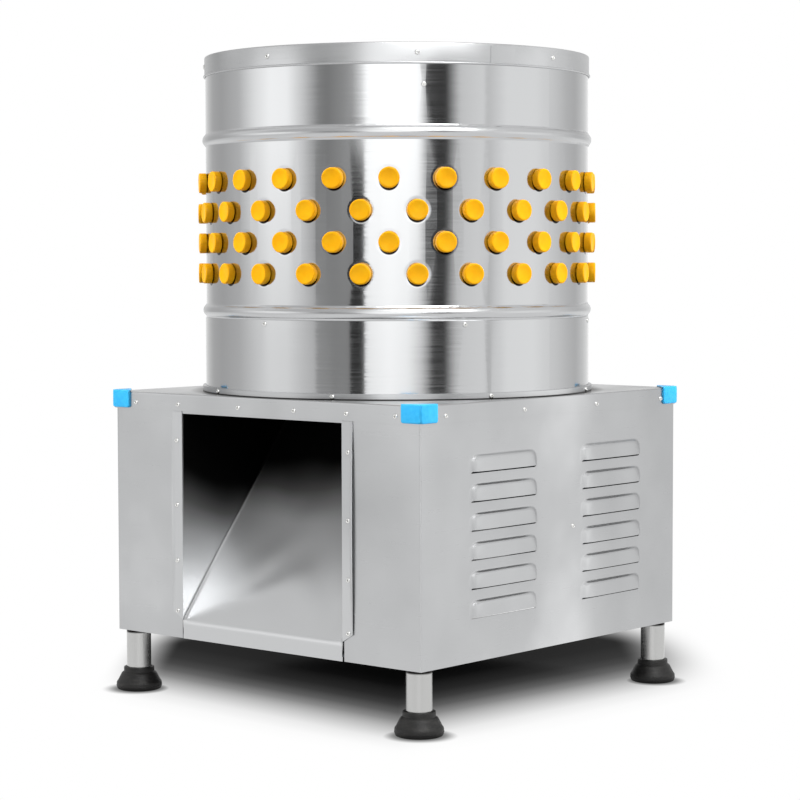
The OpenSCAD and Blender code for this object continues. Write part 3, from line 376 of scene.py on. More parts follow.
dulled = calc(tree, "MAXIMUM", sheen, rolled)
skin = add(tree, "NewGeometry")
across = vector(tree, "CROSS_PRODUCT", (skin, "Normal"), (0, 0, 1))
sway = ranged(tree, hair, 0.25, 0.75, -0.009, 0.009)
push = add(tree, "VectorMath", links={0: (across, 0), "Scale": (sway, 0)}, operation="SCALE")
leant = vector(tree, "ADD", (skin, "Normal"), (push, 0))
level = vector(tree, "NORMALIZE", (leant, 0))
turn = calc(tree, "ARCTAN2", (split, "Y"), (split, "X"))
rows_down = calc(tree, "MULTIPLY_ADD", (split, "Z"), -1 / ROW_PITCH, ROW_Z[0] / ROW_PITCH)
nearest = calc(tree, "ROUND", rows_down)
row = calc(tree, "MINIMUM", calc(tree, "MAXIMUM", nearest, 0), len(ROW_Z) - 1)
from_row = calc(tree, "SUBTRACT", rows_down, row)
cells = calc(tree, "MULTIPLY_ADD", turn, 1 / CELL, -ROW_TURN / CELL)
stagger = calc(tree, "MULTIPLY_ADD", row, -0.5, cells)
from_finger = calc(tree, "SUBTRACT", stagger, calc(tree, "ROUND", stagger))
apart = add(tree, "CombineXYZ", links={"X": (from_finger, 0), "Y": (from_row, 0)})
apart_m = vector(tree, "MULTIPLY", (apart, 0), (CELL * DRUM_R, ROW_PITCH, 0))
away = vector(tree, "LENGTH", (apart_m, 0))
# A dark crescent just below each finger's head: painted shade.
below = vector(tree, "LENGTH", (vector(tree, "ADD", (apart_m, 0), (0, -HEAD_SHADE_SAG, 0)), 0))
painted_shade = ranged(tree, (below, "Value"), 11.6 * MM, 12.8 * MM, smooth=True)
tone = toned(tree, painted_shade, ((0.0, "#241F1A"), (1.0, "#C2C3C4")))
drawn_in = ranged(tree, (away, "Value"), 10 * MM, 18 * MM, smooth=True)
dimple = bump(tree, drawn_in, 1.0, 0.3, level)
wave = noise(tree, place, (7, 7, 3), 2.0)
dent = bump(tree, wave, 1.0, 0.5, dimple)
metal(tree, tone, dulled, dent)

# Stainless sheet with a satin mill finish, slightly uneven over the folded panels, with a painted highlight,
# a brighter band up their middle: soft grey reflections with faint level grain, drawn about 1.6 mm apart
# to show. A dark ring on the deck round the drum's foot is painted shade.
SHEEN_BAND_Y = 20 * MM
DRUM_FOOT_SHADE_R = (254 * MM, 255 * MM, 259 * MM, 274 * MM)
panel_steel, tree, place = new_material("satin stainless panel sheet")
grain = noise(tree, place, (14, 14, 620), 5.0, 0.6)
satin = ranged(tree, grain, 0.3, 0.7, 0.27, 0.36)
cloud = noise(tree, place, 6.0, 3.0)
split = add(tree, "SeparateXYZ", links={0: (place, "Object")})
# A brighter band up the middle of the sheet: painted highlight.
off_band = calc(tree, "ABSOLUTE", calc(tree, "SUBTRACT", (split, "Y"), SHEEN_BAND_Y))
painted_sheen = ranged(tree, off_band, 10 * MM, 110 * MM, 0.33, 0.0, smooth=True)
tone_and_sheen = calc(tree, "ADD", cloud, painted_sheen)
tone = toned(tree, tone_and_sheen, ((0.3, "#B2B3B4"), (0.65, "#BFC0C1"), (1.0, "#D8D9DA")))
# A dark ring on the deck round the drum's foot: painted shade.
radius = vector(tree, "LENGTH", (vector(tree, "MULTIPLY", (place, "Object"), (1, 1, 0)), 0))
inner = ranged(tree, (radius, "Value"), DRUM_FOOT_SHADE_R[0], DRUM_FOOT_SHADE_R[1])
outer = ranged(tree, (radius, "Value"), DRUM_FOOT_SHADE_R[2], DRUM_FOOT_SHADE_R[3], 1.0, 0.0)
above = ranged(tree, (split, "Z"), Z_DECK - 0.6 * MM, Z_DECK - 0.4 * MM)
below = ranged(tree, (split, "Z"), Z_DECK + 0.9 * MM, Z_DECK + 1.7 * MM, 1.0, 0.0)
ringed = calc(tree, "MULTIPLY", inner, outer)
at_deck = calc(tree, "MULTIPLY", above, below)
painted_drum_foot_shade = calc(tree, "MULTIPLY", ringed, at_deck)
drum_foot_shaded_tone = add(tree, "MixRGB", {2: linear("#2B2A29")}, {0: (painted_drum_foot_shade, 0), 1: (tone, 0)})
buckle = noise(tree, place, (6, 6, 1.5), 1.0)
scratch = bump(tree, grain, 0.08, 0.4, bump(tree, buckle, 1.0, 16))
metal(tree, drum_foot_shaded_tone, satin, scratch)

# The same stainless sheet inside the chute: a blurred mirror with soft buckles, darkened by painted shade
# that deepens towards the outlet and reaches lower on the left wall.
chute_steel, tree, place = new_material("stainless chute sheet with painted shade")
grain = noise(tree, place, (14, 300, 300), 4.0, 0.6)
cloud = noise(tree, place, 9.0, 1.0)
dent = bump(tree, cloud, 1.0, 1.5)
split = add(tree, "SeparateXYZ", links={0: (place, "Object")})
left_wall = ranged(tree, (split, "X"), -0.1355, -0.137)
dullest = ranged(tree, left_wall, 0.0, 1.0, 0.72, 0.5)
dulled = add(tree, "MapRange", {1: 0.14, 2: 0.24, 3: 0.29}, {0: (split, "Z"), 4: (dullest, 0)})
satin = calc(tree, "MULTIPLY_ADD", grain, 0.05, dulled)
# Darker towards the outlet and lower on the left wall: painted shade, its share held in film.
inward = calc(tree, "MULTIPLY_ADD", (split, "Y"), 0.27, 0.065)
raised = calc(tree, "MULTIPLY_ADD", left_wall, 0.04, (split, "Z"))
upward = calc(tree, "ADD", inward, raised)
patchy = calc(tree, "MULTIPLY_ADD", cloud, 0.06, upward)
painted_outlet_shade = ranged(tree, patchy, 0.28, 0.375, smooth=True)
inside = ranged(tree, (split, "Y"), -HALF + MM, -HALF + 3 * MM)
film = calc(tree, "MULTIPLY", painted_outlet_shade, inside)
tone = toned(tree, film, ((0.0, "#C4C5C6"), (0.5, "#7A7A7A"), (1.0, "#141414")))
metal(tree, tone, satin, dent)

# Drawn stainless rivets, screws and turned shafts: bright, lightly tumbled.
bright_steel, tree, place = new_material("tumbled stainless hardware")
pits = noise(tree, place, 900.0, 3.0)
satin = ranged(tree, pits, 0.3, 0.7, 0.16, 0.3)
dent = bump(tree, pits, 0.3, 0.1)
surface(tree, "BsdfPrincipled", {"Base Color": linear("#DEDEDC"), "Metallic": 1.0},
        {"Roughness": (satin, 0), "Normal": (dent, 0)})

# Polished stainless leg tube with fine rings from the polishing belt, drawn 1 mm apart to show, and painted
# shade, a dark band where it enters the cabinet.
leg_steel, tree, place = new_material("belt-polished stainless tube")
rings = noise(tree, place, (30, 30, 1000), 4.0)
satin = ranged(tree, rings, 0.3, 0.7, 0.2, 0.26)
dent = bump(tree, rings, 0.03, 0.2)
split = add(tree, "SeparateXYZ", links={0: (place, "Object")})
# A dark band where the leg enters the cabinet: painted shade.
painted_shade = ranged(tree, (split, "Z"), Z_CABINET - 5 * MM, Z_CABINET - 3 * MM)
tone = toned(tree, painted_shade, ((0.0, "#BEBEBD"), (1.0, "#1C1B1A")))
metal(tree, tone, satin, dent)


def mottled(name, grain, colours, relief, values):
    """A material whose tone and skin follow one noise of a scale, a detail and a roughness."""
    made, tree, place = new_material(name)
    mottle = noise(tree, place, *grain)
    tone = toned(tree, mottle, colours)
    skin = bump(tree, mottle, *relief)
    surface(tree, "BsdfPrincipled", values, {"Base Color": (tone, 0), "Normal": (skin, 0)})
    return made


# Natural rubber dyed yellow, moulded: warm orange in its depth, dull skin with faint flow marks.
finger_rubber = mottled("moulded yellow natural rubber", (70.0, 5.0, 0.6),
                        ((0.3, "#F9AE06"), (0.55, "#FDB70A"), (0.75, "#FFC012")), (0.25, 0.4),
                        {"Roughness": 0.42, "Specular IOR Level": 0.12})

# Black vulcanised rubber with a grey bloom and flow marks from the mould.
black_rubber = mottled("vulcanised black rubber", ((60, 60, 220), 6.0, 0.65),
                       ((0.32, "#0D0D0D"), (0.6, "#1B1A19"), (0.8, "#33322F")), (0.5, 0.8),
                       {"Roughness": 0.5, "Specular IOR Level": 0.35})

# Polypropylene corner cap, moulded, sky blue, half gloss, with a fine spark-eroded grain.
guard_plastic = mottled("moulded sky blue polypropylene", (220.0, 3.0),
                        ((0.3, "#22B2F2"), (0.7, "#32BEF8")), (0.1, 0.4), {"Roughness": 0.4, "IOR": 1.49})

# Motor casting under blue-grey machine enamel: the sand-cast skin shows through the paint.
motor_paint = mottled("blue-grey machine enamel on castings", (420.0, 4.0, 0.6),
                      ((0.3, "#3F4E5A"), (0.7, "#4D5E6B")), (0.4, 0.5), {"Roughness": 0.42})

# Grey cast iron, turned: dark, with graphite specks.
pulley_iron = mottled("turned grey cast iron", (700.0, 5.0, 0.7),
                      ((0.35, "#55565A"), (0.7, "#77787B")), (0.3, 0.3), {"Metallic": 1.0, "Roughness": 0.48})

# Frame and rails in grey stoved enamel: thin, slightly orange-peeled.
frame_paint, tree, place = new_material("grey stoved enamel on angle steel")
peel = noise(tree, place, 350.0, 2.0)
film = noise(tree, place, 25.0, 4.0)
tone = toned(tree, film, ((0.3, "#6B7074"), (0.7, "#7A8084")))
skin = bump(tree, peel, 0.25, 0.3)
surface(tree, "BsdfPrincipled", {"Roughness": 0.38}, {"Base Color": (tone, 0), "Normal": (skin, 0)})


# Moulded switch plastics: fine spark-eroded grain, half gloss.
def switch_plastic(name, low, high):
    return mottled(name, (800.0, 2.0), ((0.3, low), (0.7, high)), (0.2, 0.15), {"Roughness": 0.4})


FINISH = {"stainless_sheet": panel_steel, "steel_hardware": bright_steel, "leg_steel": leg_steel,
          "frame_paint": frame_paint, "motor_paint": motor_paint, "pulley_iron": pulley_iron,
          "finger_rubber": finger_rubber, "black_rubber": black_rubber, "guard_plastic": guard_plastic,
          "switch_plastic": switch_plastic("black ABS switch housing", "#1B1C1D", "#242526"),
          "start_plastic": switch_plastic("green polycarbonate button", "#1E8F45", "#26A04F"),
          "stop_plastic": switch_plastic("red polycarbonate button", "#B9201C", "#CC2A24")}
SLOT = {part["node"]: part["material_slot"] for part in frame["record"]["subparts"]}
SPECIAL = {"drum_shell": drum_steel, "drum_collar": drum_steel,
           "chute_left_wall": chute_steel, "chute_right_wall": chute_steel, "chute_floor": chute_steel}


def finish_of(node):
    """The material of a node, by its name or else by its slot."""
    return SPECIAL.get(node) or FINISH[SLOT[node]]


for name in nodes:
    nodes[name].data.materials.clear()
    nodes[name].data.materials.append(finish_of(name))


def stand_for(piece, node, body="machine"):
    """Gives a modelled piece the finish and body of the node that it stands for."""
    piece.data.materials.clear()
    piece.data.materials.append(finish_of(node))
    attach(piece, body)
    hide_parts(node)


# An edge that turns by more than this stays sharp.
TURNED_EDGE = math.radians(42)
SHEET_EDGE = math.radians(35)


def spun(name, outline, steps):
    """A turned piece about Z: its outline in millimetres is drawn by extruding a point, then spun."""
    bpy.ops.object.select_all(action="DESELECT")
    bpy.ops.mesh.primitive_plane_add(size=MM)
    piece = bpy.context.object
    piece.name = name
    bpy.ops.object.mode_set(mode="EDIT")
    bpy.ops.mesh.select_mode(type="VERT")
    bpy.ops.mesh.select_all(action="SELECT")
    bpy.ops.mesh.merge(type="CENTER")
    bpy.ops.transform.translate(value=(outline[0][0] * MM, 0, outline[0][1] * MM))
    for (r0, z0), (r1, z1) in zip(outline, outline[1:]):
        extrude((r1 - r0) * MM, 0, (z1 - z0) * MM)
    bpy.ops.mesh.select_all(action="SELECT")
    bpy.ops.mesh.spin(steps=steps, angle=math.tau, center=(0, 0, 0), axis=(0, 0, 1))
    bpy.ops.mesh.select_all(action="SELECT")
    bpy.ops.mesh.remove_doubles(threshold=0.001 * MM)
    bpy.ops.mesh.normals_make_consistent(inside=False)
    bpy.ops.object.mode_set(mode="OBJECT")
    bpy.ops.object.shade_smooth_by_angle(angle=TURNED_EDGE)
    return piece


def joined(*pieces):
    """The pieces as one object, the first of them."""
    bpy.ops.object.select_all(action="DESELECT")
    for piece in pieces:
        piece.select_set(True)
    bpy.context.view_layer.objects.active = pieces[0]
    bpy.ops.object.join()
    return pieces[0]


def mirrored(piece):
    """A piece of the right side, turned over to the left."""
    piece.data.transform(Matrix.Scale(-1, 4, (1, 0, 0)))
    piece.data.flip_normals()
    return piece


def copies(name, model, places):
    """One piece of copies of a model, each with its own mesh, put at the given places."""
    made = []
    for place in places:
        copy = model.copy()
        copy.data = model.data.copy()
        copy.data.transform(place)
        scene.collection.objects.link(copy)
        made.append(copy)
    bpy.data.objects.remove(model)
    whole = joined(*made)
    whole.name = name
    return whole


def turned_to(direction):
    """Rotation that lays a piece's Z axis along a direction."""
    return Vector(direction).to_track_quat("Z", "Y").to_matrix().to_4x4()


def at(x, y, z):
    """A move to a place."""
    return Matrix.Translation((x, y, z))


# Rubber fingers: a dished button head, a neck in the sheet's hole, and a ribbed taper to a round tip.
FINGER_HEAD = [(0, -9.6), (9.4, -9.6), (10.2, -9.9), (11.6, -10), (12.5, -9.7), (12.9, -9.1), (13, -8.4),
               (13, -1), (12.7, -0.4), (12, -0.1), (9.8, -0.1)]
FINGER_ROOT_R, FINGER_TIP_R = 12, 8
FINGER_STEPS = 20
RIB_START = 10
RIB_COUNT = 8
RIB = ((0.1, -1.5), (0.2, -1.6), (0.36, -0.25), (0.5, 0), (0.74, 0), (0.88, -0.25))


def finger_outline(grip, length):
    """A finger's outline in millimetres, from its head to its tip, for the sheet it grips."""
    neck = grip + 0.5
    body = length - 4
    pitch = (body - RIB_START) / RIB_COUNT
    outline = FINGER_HEAD + [(9.8, neck), (11.4, neck), (12, neck + 0.8), (12, neck + 6)]
    for i in range(RIB_COUNT):
        for step, rise in RIB:
            along = (i + step) * pitch
            radius = FINGER_ROOT_R + (FINGER_TIP_R - FINGER_ROOT_R) * along / body
            outline.append((radius + rise, neck + RIB_START + along))
    return outline + [(FINGER_TIP_R - 0.2, neck + body - 1), (FINGER_TIP_R - 1.2, neck + body + 1.6),
                      (FINGER_TIP_R - 3.2, neck + length - 0.4), (0, neck + length)]


set_by_hand = random.Random(23)
MOST_LEAN = 1.2


def loosely():
    """A small lean and turn, as each finger is pulled in by hand."""
    lean = [math.radians(set_by_hand.uniform(-MOST_LEAN, MOST_LEAN)) for _ in range(2)]
    return (Matrix.Rotation(lean[0], 4, "X") @ Matrix.Rotation(lean[1], 4, "Y")
            @ Matrix.Rotation(set_by_hand.uniform(0, math.tau), 4, "Z"))


DRUM_FINGER_L = 84
for i, z in enumerate(ROW_Z):
    model = spun("finger", finger_outline(SHEET / MM, DRUM_FINGER_L), FINGER_STEPS)
    places = [Matrix.Rotation(ROW_TURN + (k + 0.5 * (i % 2)) * CELL, 4, "Z") @ at(DRUM_R, 0, z)
              @ turned_to((-1, 0, 0)) @ loosely() for k in range(ROW_COUNT)]
    stand_for(copies(f"drum_fingers_{i + 1}", model, places), f"finger_row_{i + 1}")

PLATE_FINGER_L = 78
PLATE_T = 3
Z_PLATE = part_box("feather_plate")[0][2]
PLATE_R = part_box("feather_plate")[1][0]
PLATE_RINGS = ((0.38, 6), (0.615, 9), (0.85, 15))
model = spun("finger", finger_outline(PLATE_T, PLATE_FINGER_L), FINGER_STEPS)
places = [Matrix.Rotation((k + 0.5) * math.tau / count, 4, "Z") @ at(share * PLATE_R, 0, Z_PLATE) @ loosely()
          for share, count in PLATE_RINGS for k in range(count)]
stand_for(copies("plate_finger_set", model, places), "plate_fingers", "turntable")

# Pop rivets: a domed flange round the sunk end of the mandrel.
RIVET = [(0, -0.8), (1.2, -0.8), (1.25, 1.3), (1.5, 1.58), (1.9, 1.56), (2.5, 1.3), (2.95, 0.85), (3.2, 0.35),
         (3.25, 0.02), (2, 0.02), (2, -2), (0, -2)]
RIVET_STEPS = 16
RIVET_Z = Z_DECK - 13.5 * MM
FRONT_RIVET_X = (-223.5, -145.3, -37.3, 58.7, 145.3, 223.5)
REAR_RIVET_X = (-223.5, -70, 70, 223.5)
SIDE_RIVET_Y = (-216.5, -64.1, 86.3, 230)
PANEL_RIVET = (PANEL + 3.3 * MM, 33 * MM, Z_CABINET + 149 * MM)
FLANGE_RIVET_X = 147.9 * MM
FLANGE_RIVET_Z = (35, 100, 172, 255)
places = [at(x * MM, -HALF, RIVET_Z) @ turned_to((0, -1, 0)) for x in FRONT_RIVET_X]
places += [at(x * MM, HALF, RIVET_Z) @ turned_to((0, 1, 0)) for x in REAR_RIVET_X]
places += [at(side * HALF, y * MM, RIVET_Z) @ turned_to((side, 0, 0))
           for side in (-1, 1) for y in SIDE_RIVET_Y]
places += [at(*PANEL_RIVET) @ turned_to((1, 0, 0))]
stand_for(copies("skirt_rivets", spun("rivet", RIVET, RIVET_STEPS), places), "panel_rivets")
places = [at(side * FLANGE_RIVET_X, -HALF, Z_CABINET + z * MM) @ turned_to((0, -1, 0))
          for side in (-1, 1) for z in FLANGE_RIVET_Z]
stand_for(copies("flange_rivets", spun("rivet", RIVET, RIVET_STEPS), places), "chute_rivets")


def round_drum(radius, z, count, first):
    """Places round the drum, facing outwards, from a first angle in degrees."""
    return [Matrix.Rotation(math.radians(first) + k * math.tau / count, 4, "Z") @ at(radius, 0, z)
            @ turned_to((1, 0, 0)) for k in range(count)]


# Rings of rivets on the collar, the rim, the shell and the drum's foot: radius, height, count, first angle
DRUM_RIVETS = ((252.5 * MM, Z_COLLAR - 4.5 * MM, 6, -90), (252.3 * MM, Z_RIM - 12.5 * MM, 8, -88.5),
               (DRUM_R, Z_RIM - 51 * MM, 1, -41.7), (256.6 * MM, Z_DECK + 3.75 * MM, 8, -67.4))
places = [place for ring in DRUM_RIVETS for place in round_drum(*ring)]
stand_for(copies("drum_rivet_set", spun("rivet", RIVET, RIVET_STEPS), places), "drum_rivets")

# Rubber feet: a bulged rim with a mould line, a cone, and a collar that grips the leg.
FOOT = [(0, 0), (26.5, 0), (28.3, 0.8), (29.3, 2.6), (29.75, 4.6), (29.8, 4.9), (30.1, 5), (30.1, 5.6),
        (29.8, 5.7), (29.75, 8.6), (29.2, 10.4), (27.9, 11.9), (24.6, 18.4), (22.9, 21.6), (21.2, 23),
        (20.2, 23.6), (20, 24.6), (20, 28.8), (19.6, 29.7), (18.8, 30), (16.9, 30), (16.2, 29.2), (16.1, 8),
        (0, 8)]
FOOT_STEPS = 48
CORNERS = (("front_left", -1, -1), ("front_right", 1, -1), ("rear_left", -1, 1), ("rear_right", 1, 1))
for node, sx, sy in CORNERS:
    foot = copies(f"rubber_foot_{node}", spun("foot", FOOT, FOOT_STEPS), [at(sx * LEG, sy * LEG, 0)])
    stand_for(foot, f"foot_{node}")


def flat_sheet(name, centre, turn, size):
    """A flat rectangle of sheet at its size and place."""
    bpy.ops.object.select_all(action="DESELECT")
    bpy.ops.mesh.primitive_plane_add(size=1, location=centre, rotation=turn)
    piece = bpy.context.object
    piece.name = name
    piece.scale = (*size, 1)
    bpy.ops.object.transform_apply(location=True, rotation=True, scale=True)
    bpy.ops.object.mode_set(mode="EDIT")
    return piece


def cut_across(axis, places):
    """Cuts the mesh square to an axis at each place."""
    normal = [float(i == axis) for i in range(3)]
    for place in places:
        bpy.ops.mesh.select_all(action="SELECT")
        bpy.ops.mesh.bisect(plane_co=[place * part for part in normal], plane_no=normal)


def choose(piece, kind, wanted):
    """Selects the edges or polygons whose middle passes a test."""
    bpy.ops.mesh.select_mode(type={"edges": "EDGE", "polygons": "FACE"}[kind])
    bpy.ops.mesh.select_all(action="DESELECT")
    bpy.ops.object.mode_set(mode="OBJECT")
    points = piece.data.vertices
    for part in getattr(piece.data, kind):
        part.select = wanted(sum((points[i].co for i in part.vertices), Vector()) / len(part.vertices))
    bpy.ops.object.mode_set(mode="EDIT")


def press(piece, shift):
    """Moves each point of a sheet by what a function of its place gives."""
    bpy.ops.object.mode_set(mode="OBJECT")
    for point in piece.data.vertices:
        point.co += Vector(shift(point.co))
    bpy.ops.object.mode_set(mode="EDIT")


def thicken(piece, levels):
    """Softens a sheet's bends and gives it its thickness, behind its face."""
    bpy.ops.object.mode_set(mode="OBJECT")
    if levels:
        soft = piece.modifiers.new("soft_bends", "SUBSURF")
        soft.levels = soft.render_levels = levels
        soft.boundary_smooth = "PRESERVE_CORNERS"
        bpy.ops.object.modifier_apply(modifier="soft_bends")
    wall = piece.modifiers.new("sheet_thickness", "SOLIDIFY")
    wall.thickness = SHEET
    wall.offset = -1
    bpy.ops.object.modifier_apply(modifier="sheet_thickness")
    bpy.ops.object.shade_smooth_by_angle(angle=SHEET_EDGE)


# Side panels: sheet bent round the front corner, with two columns of hipped louvres pressed out.
LOUVRE_Y = (-106 * MM, 115 * MM)
LIP_Z = [Z_CABINET + (55 + 35.3 * i) * MM for i in range(6)]
LOUVRE_L = 133 * MM
LOUVRE_HOOD = 20 * MM
LOUVRE_END = 26 * MM
LOUVRE_EDGE = 0.22
LOUVRE_EASE = 0.4
LOUVRE_ROUND = 0.65
LOUVRE_PROUD = 6.5 * MM
SLOT_MID = 1.2 * MM
PANEL_BULGE = 4 * MM
BULGE_TOP = 365 * MM
BULGE_COLUMNS = (-240, -215, 0, 30, 205, 230)
BULGE_ROWS = (0, 6, 14, 24)
LIP_ROWS = (-2.4, 0, 1, 7, 13, 15.5, 17, 18.5, 20, 21)
END_COLUMNS = (-1, 0, 2, 4, 6, 8.5, 12, 18, 26)
PANEL_BEND = 2.5 * MM
PANEL_REAR = PANEL - SHEET
STRIP_X = 140.2 * MM
SWITCH_HOLE = ((-22.6, 30.6), (250.9, 309.1))


def louvre_rise(place):
    """How far the sheet stands out at a place on the side panel."""
    for y in LOUVRE_Y:
        for lip in LIP_Z:
            inset = LOUVRE_L / 2 - abs(place.y - y)
            above = place.z - lip
            if inset > 0 and -NEAR < above < LOUVRE_HOOD:
                end = 1 - min(inset / LOUVRE_END, 1)
                crown = max(above, 0) / LOUVRE_HOOD
                within = max(0, 1 - (end ** 3 + crown ** 3) ** (1 / 3))
                round_edge = math.sqrt(1 - (1 - min(within / LOUVRE_EDGE, 1)) ** 2)
                eased = min(within / LOUVRE_EASE, 1)
                eased_edge = eased ** 2 * (3 - 2 * eased)
                at_end = end ** 3 / max(end ** 3 + crown ** 3, 1e-6)
                edge = eased_edge * at_end + round_edge * (1 - at_end)
                return LOUVRE_PROUD * (LOUVRE_ROUND * edge + (1 - LOUVRE_ROUND) * within)
    return 0


def bulge(place):
    """How far the flat of the right panel swells between its edges, most behind its middle."""
    across = (place.y + PANEL) / (2 * PANEL)
    up = (place.z - Z_CABINET) / (BULGE_TOP - Z_CABINET)
    if not (0 < across < 1 and 0 < up < 1):
        return 0
    return PANEL_BULGE * math.sin(math.pi * across ** 1.9) * math.sin(math.pi * up) ** 0.5


def in_slot(place):
    """Whether a face of the panel lies in the open slot under a louvre's lip."""
    beside = min(abs(place.y - y) for y in LOUVRE_Y)
    below = min(abs(place.z + SLOT_MID - lip) for lip in LIP_Z)
    return below < 0.5 * MM and beside < LOUVRE_L / 2 - 4 * MM


def in_switch_hole(place):
    """Whether a face of the panel lies where the switch goes through."""
    (y0, y1), (z0, z1) = SWITCH_HOLE
    return y0 * MM < place.y < y1 * MM and z0 * MM < place.z < z1 * MM


def side_panel(name, has_switch):
    """A panel of the right side, flat with a hole for the switch, or else swollen."""
    front = PANEL_BEND - PANEL
    piece = flat_sheet(name, (PANEL, (PANEL_REAR + front) / 2, (Z_CABINET + Z_UNDER) / 2),
                       (0, math.pi / 2, 0), (Z_UNDER - Z_CABINET, PANEL_REAR - front))
    cut_across(2, [lip + row * MM for lip in LIP_Z for row in LIP_ROWS])
    cut_across(1, [y + side * (LOUVRE_L / 2 - inset * MM)
                   for y in LOUVRE_Y for side in (-1, 1) for inset in END_COLUMNS])
    if has_switch:
        cut_across(1, [y * MM for y in SWITCH_HOLE[0]])
        cut_across(2, [z * MM for z in SWITCH_HOLE[1]])
        choose(piece, "polygons", in_switch_hole)
        bpy.ops.mesh.delete(type="FACE")
    else:
        cut_across(1, [y * MM for y in BULGE_COLUMNS])
        cut_across(2, [BULGE_TOP - drop * MM for drop in BULGE_ROWS])
    press(piece, lambda place: (louvre_rise(place) + (0 if has_switch else bulge(place)), 0, 0))
    choose(piece, "polygons", in_slot)
    bpy.ops.mesh.delete(type="FACE")
    choose(piece, "edges", lambda place: place.y < front + 0.01 * MM)
    bpy.ops.mesh.spin(steps=4, angle=math.pi / 2, center=(PANEL - PANEL_BEND, front, 0), axis=(0, 0, 1))
    extrude(STRIP_X - PANEL + PANEL_BEND, 0, 0)
    thicken(piece, 2)
    return piece


stand_for(side_panel("right_louvre_panel", False), "right_panel")
stand_for(mirrored(side_panel("left_louvre_panel", True)), "left_panel")

# Chute floor: an apron, a soft bend over the sill, a creased slope, and a back.
SILL_Z = Z_CABINET + 22 * MM
SLOPE = math.radians(52.1)
CHUTE_BACK = -68.7 * MM
CHUTE_W = 275 * MM
SLOPE_L = (CHUTE_BACK + HALF) / math.cos(SLOPE)
# Creases that fan out from the sill's two corners: side, angle from the sill, half width, height
CREASES = ((-1, 24, 9, 4), (-1, 47, 8, 2), (1, 34, 9, 3), (1, 62, 10, 4))
CREASE_L = 240 * MM
EDGE_W, EDGE_UP = 5 * MM, 1.8 * MM
CHUTE_BEND = 4.5 * MM
CHUTE_COLUMNS = (-136, -134.5, -132.5, *range(-124, 125, 12), 132.5, 134.5, 136)
CHUTE_ROWS = range(14, 230, 12)
back_z = SILL_Z + (CHUTE_BACK + HALF) * math.tan(SLOPE)
chute = flat_sheet("chute_floor_sheet", (0, -HALF, (Z_CABINET + SILL_Z) / 2), (math.pi / 2, 0, 0),
                   (CHUTE_W, SILL_Z - Z_CABINET))
choose(chute, "edges", lambda place: place.z > SILL_Z - NEAR)
extrude(0, CHUTE_BACK + HALF, back_z - SILL_Z)
extrude(0, 0, Z_UNDER - back_z)
choose(chute, "edges",
       lambda place: abs(place.x) < MM and min(abs(place.z - SILL_Z), abs(place.z - back_z)) < MM)
bpy.ops.mesh.bevel(offset=CHUTE_BEND, segments=4, affect="EDGES")
cut_across(0, [x * MM for x in CHUTE_COLUMNS])
cut_across(2, [SILL_Z + rise * MM for rise in CHUTE_ROWS])


def creased(place):
    """The slope lifts in creases from the corners, and its edges turn up against the walls."""
    up = (place.z - SILL_Z) / (back_z - SILL_Z)
    if not 0 < up < 1:
        return 0, 0, 0
    lift = 0
    for side, turn, width, height in CREASES:
        beside = CHUTE_W / 2 - side * place.x
        far = math.hypot(beside, up * SLOPE_L)
        off = math.degrees(math.atan2(up * SLOPE_L, beside)) - turn
        lift += height * MM * math.exp(-(off / width) ** 2) * math.sin(math.pi * min(far / CREASE_L, 1))
    to_edge = max(0, 1 - (CHUTE_W / 2 - abs(place.x)) / EDGE_W)
    lift += EDGE_UP * to_edge ** 2
    return 0, -lift * math.sin(SLOPE), lift * math.cos(SLOPE)


press(chute, creased)
thicken(chute, 1)
stand_for(chute, "chute_floor")

# Chute walls: a riveted flange whose outer edge springs off the panel, turned into an upright wall.
CHUTE_X = 138 * MM
FLANGE_W = 17 * MM
FLANGE_Z = 372.5 * MM
FLANGE_SPRING = 2.6 * MM
SPRING_FROM = 0.62
SPRING_COLUMNS = (SPRING_FROM, 0.74, 0.84, 0.92)
SPRING_ROWS = range(24, 260, 24)
WALL_UNDER = 10 * MM


def sprung(place):
    """The flange's edge stands off most half way between its ends."""
    out = max(0, (place.x - CHUTE_X - SPRING_FROM * FLANGE_W) / ((1 - SPRING_FROM) * FLANGE_W))
    up = (place.z - SILL_Z) / (FLANGE_Z - SILL_Z)
    if place.y > -HALF + NEAR or not 0 < up < 1:
        return 0, 0, 0
    return 0, -FLANGE_SPRING * out ** 2 * math.sin(math.pi * up) ** 0.6, 0


def chute_wall(name):
    """The chute's wall on the right side."""
    foot = SILL_Z + 2 * MM
    piece = flat_sheet(name, (CHUTE_X + FLANGE_W / 2, -HALF, (foot + FLANGE_Z) / 2), (math.pi / 2, 0, 0),
                       (FLANGE_W, FLANGE_Z - foot))
    corner = Vector((CHUTE_X + 3 * MM, 0, foot))
    bpy.ops.mesh.select_all(action="SELECT")
    bpy.ops.mesh.bisect(plane_co=corner, plane_no=(10 * MM, 0, 3 * MM - FLANGE_W), clear_outer=True)
    choose(piece, "edges", lambda place: place.x < CHUTE_X + NEAR)
    extrude(0, HALF - PANEL, 0)
    extrude(0, CHUTE_BACK + PANEL, 0)
    choose(piece, "edges", lambda place: place.z > FLANGE_Z - NEAR and place.y > -PANEL + MM)
    extrude(0, 0, Z_UNDER - FLANGE_Z)
    bpy.ops.mesh.select_all(action="SELECT")
    bpy.ops.mesh.bisect(plane_co=(0, -PANEL, SILL_Z - WALL_UNDER),
                        plane_no=(0, math.sin(SLOPE), -math.cos(SLOPE)), clear_outer=True)
    cut_across(0, [CHUTE_X + share * FLANGE_W for share in SPRING_COLUMNS])
    cut_across(2, [SILL_Z + rise * MM for rise in SPRING_ROWS])
    press(piece, sprung)
    thicken(piece, 0)
    return piece


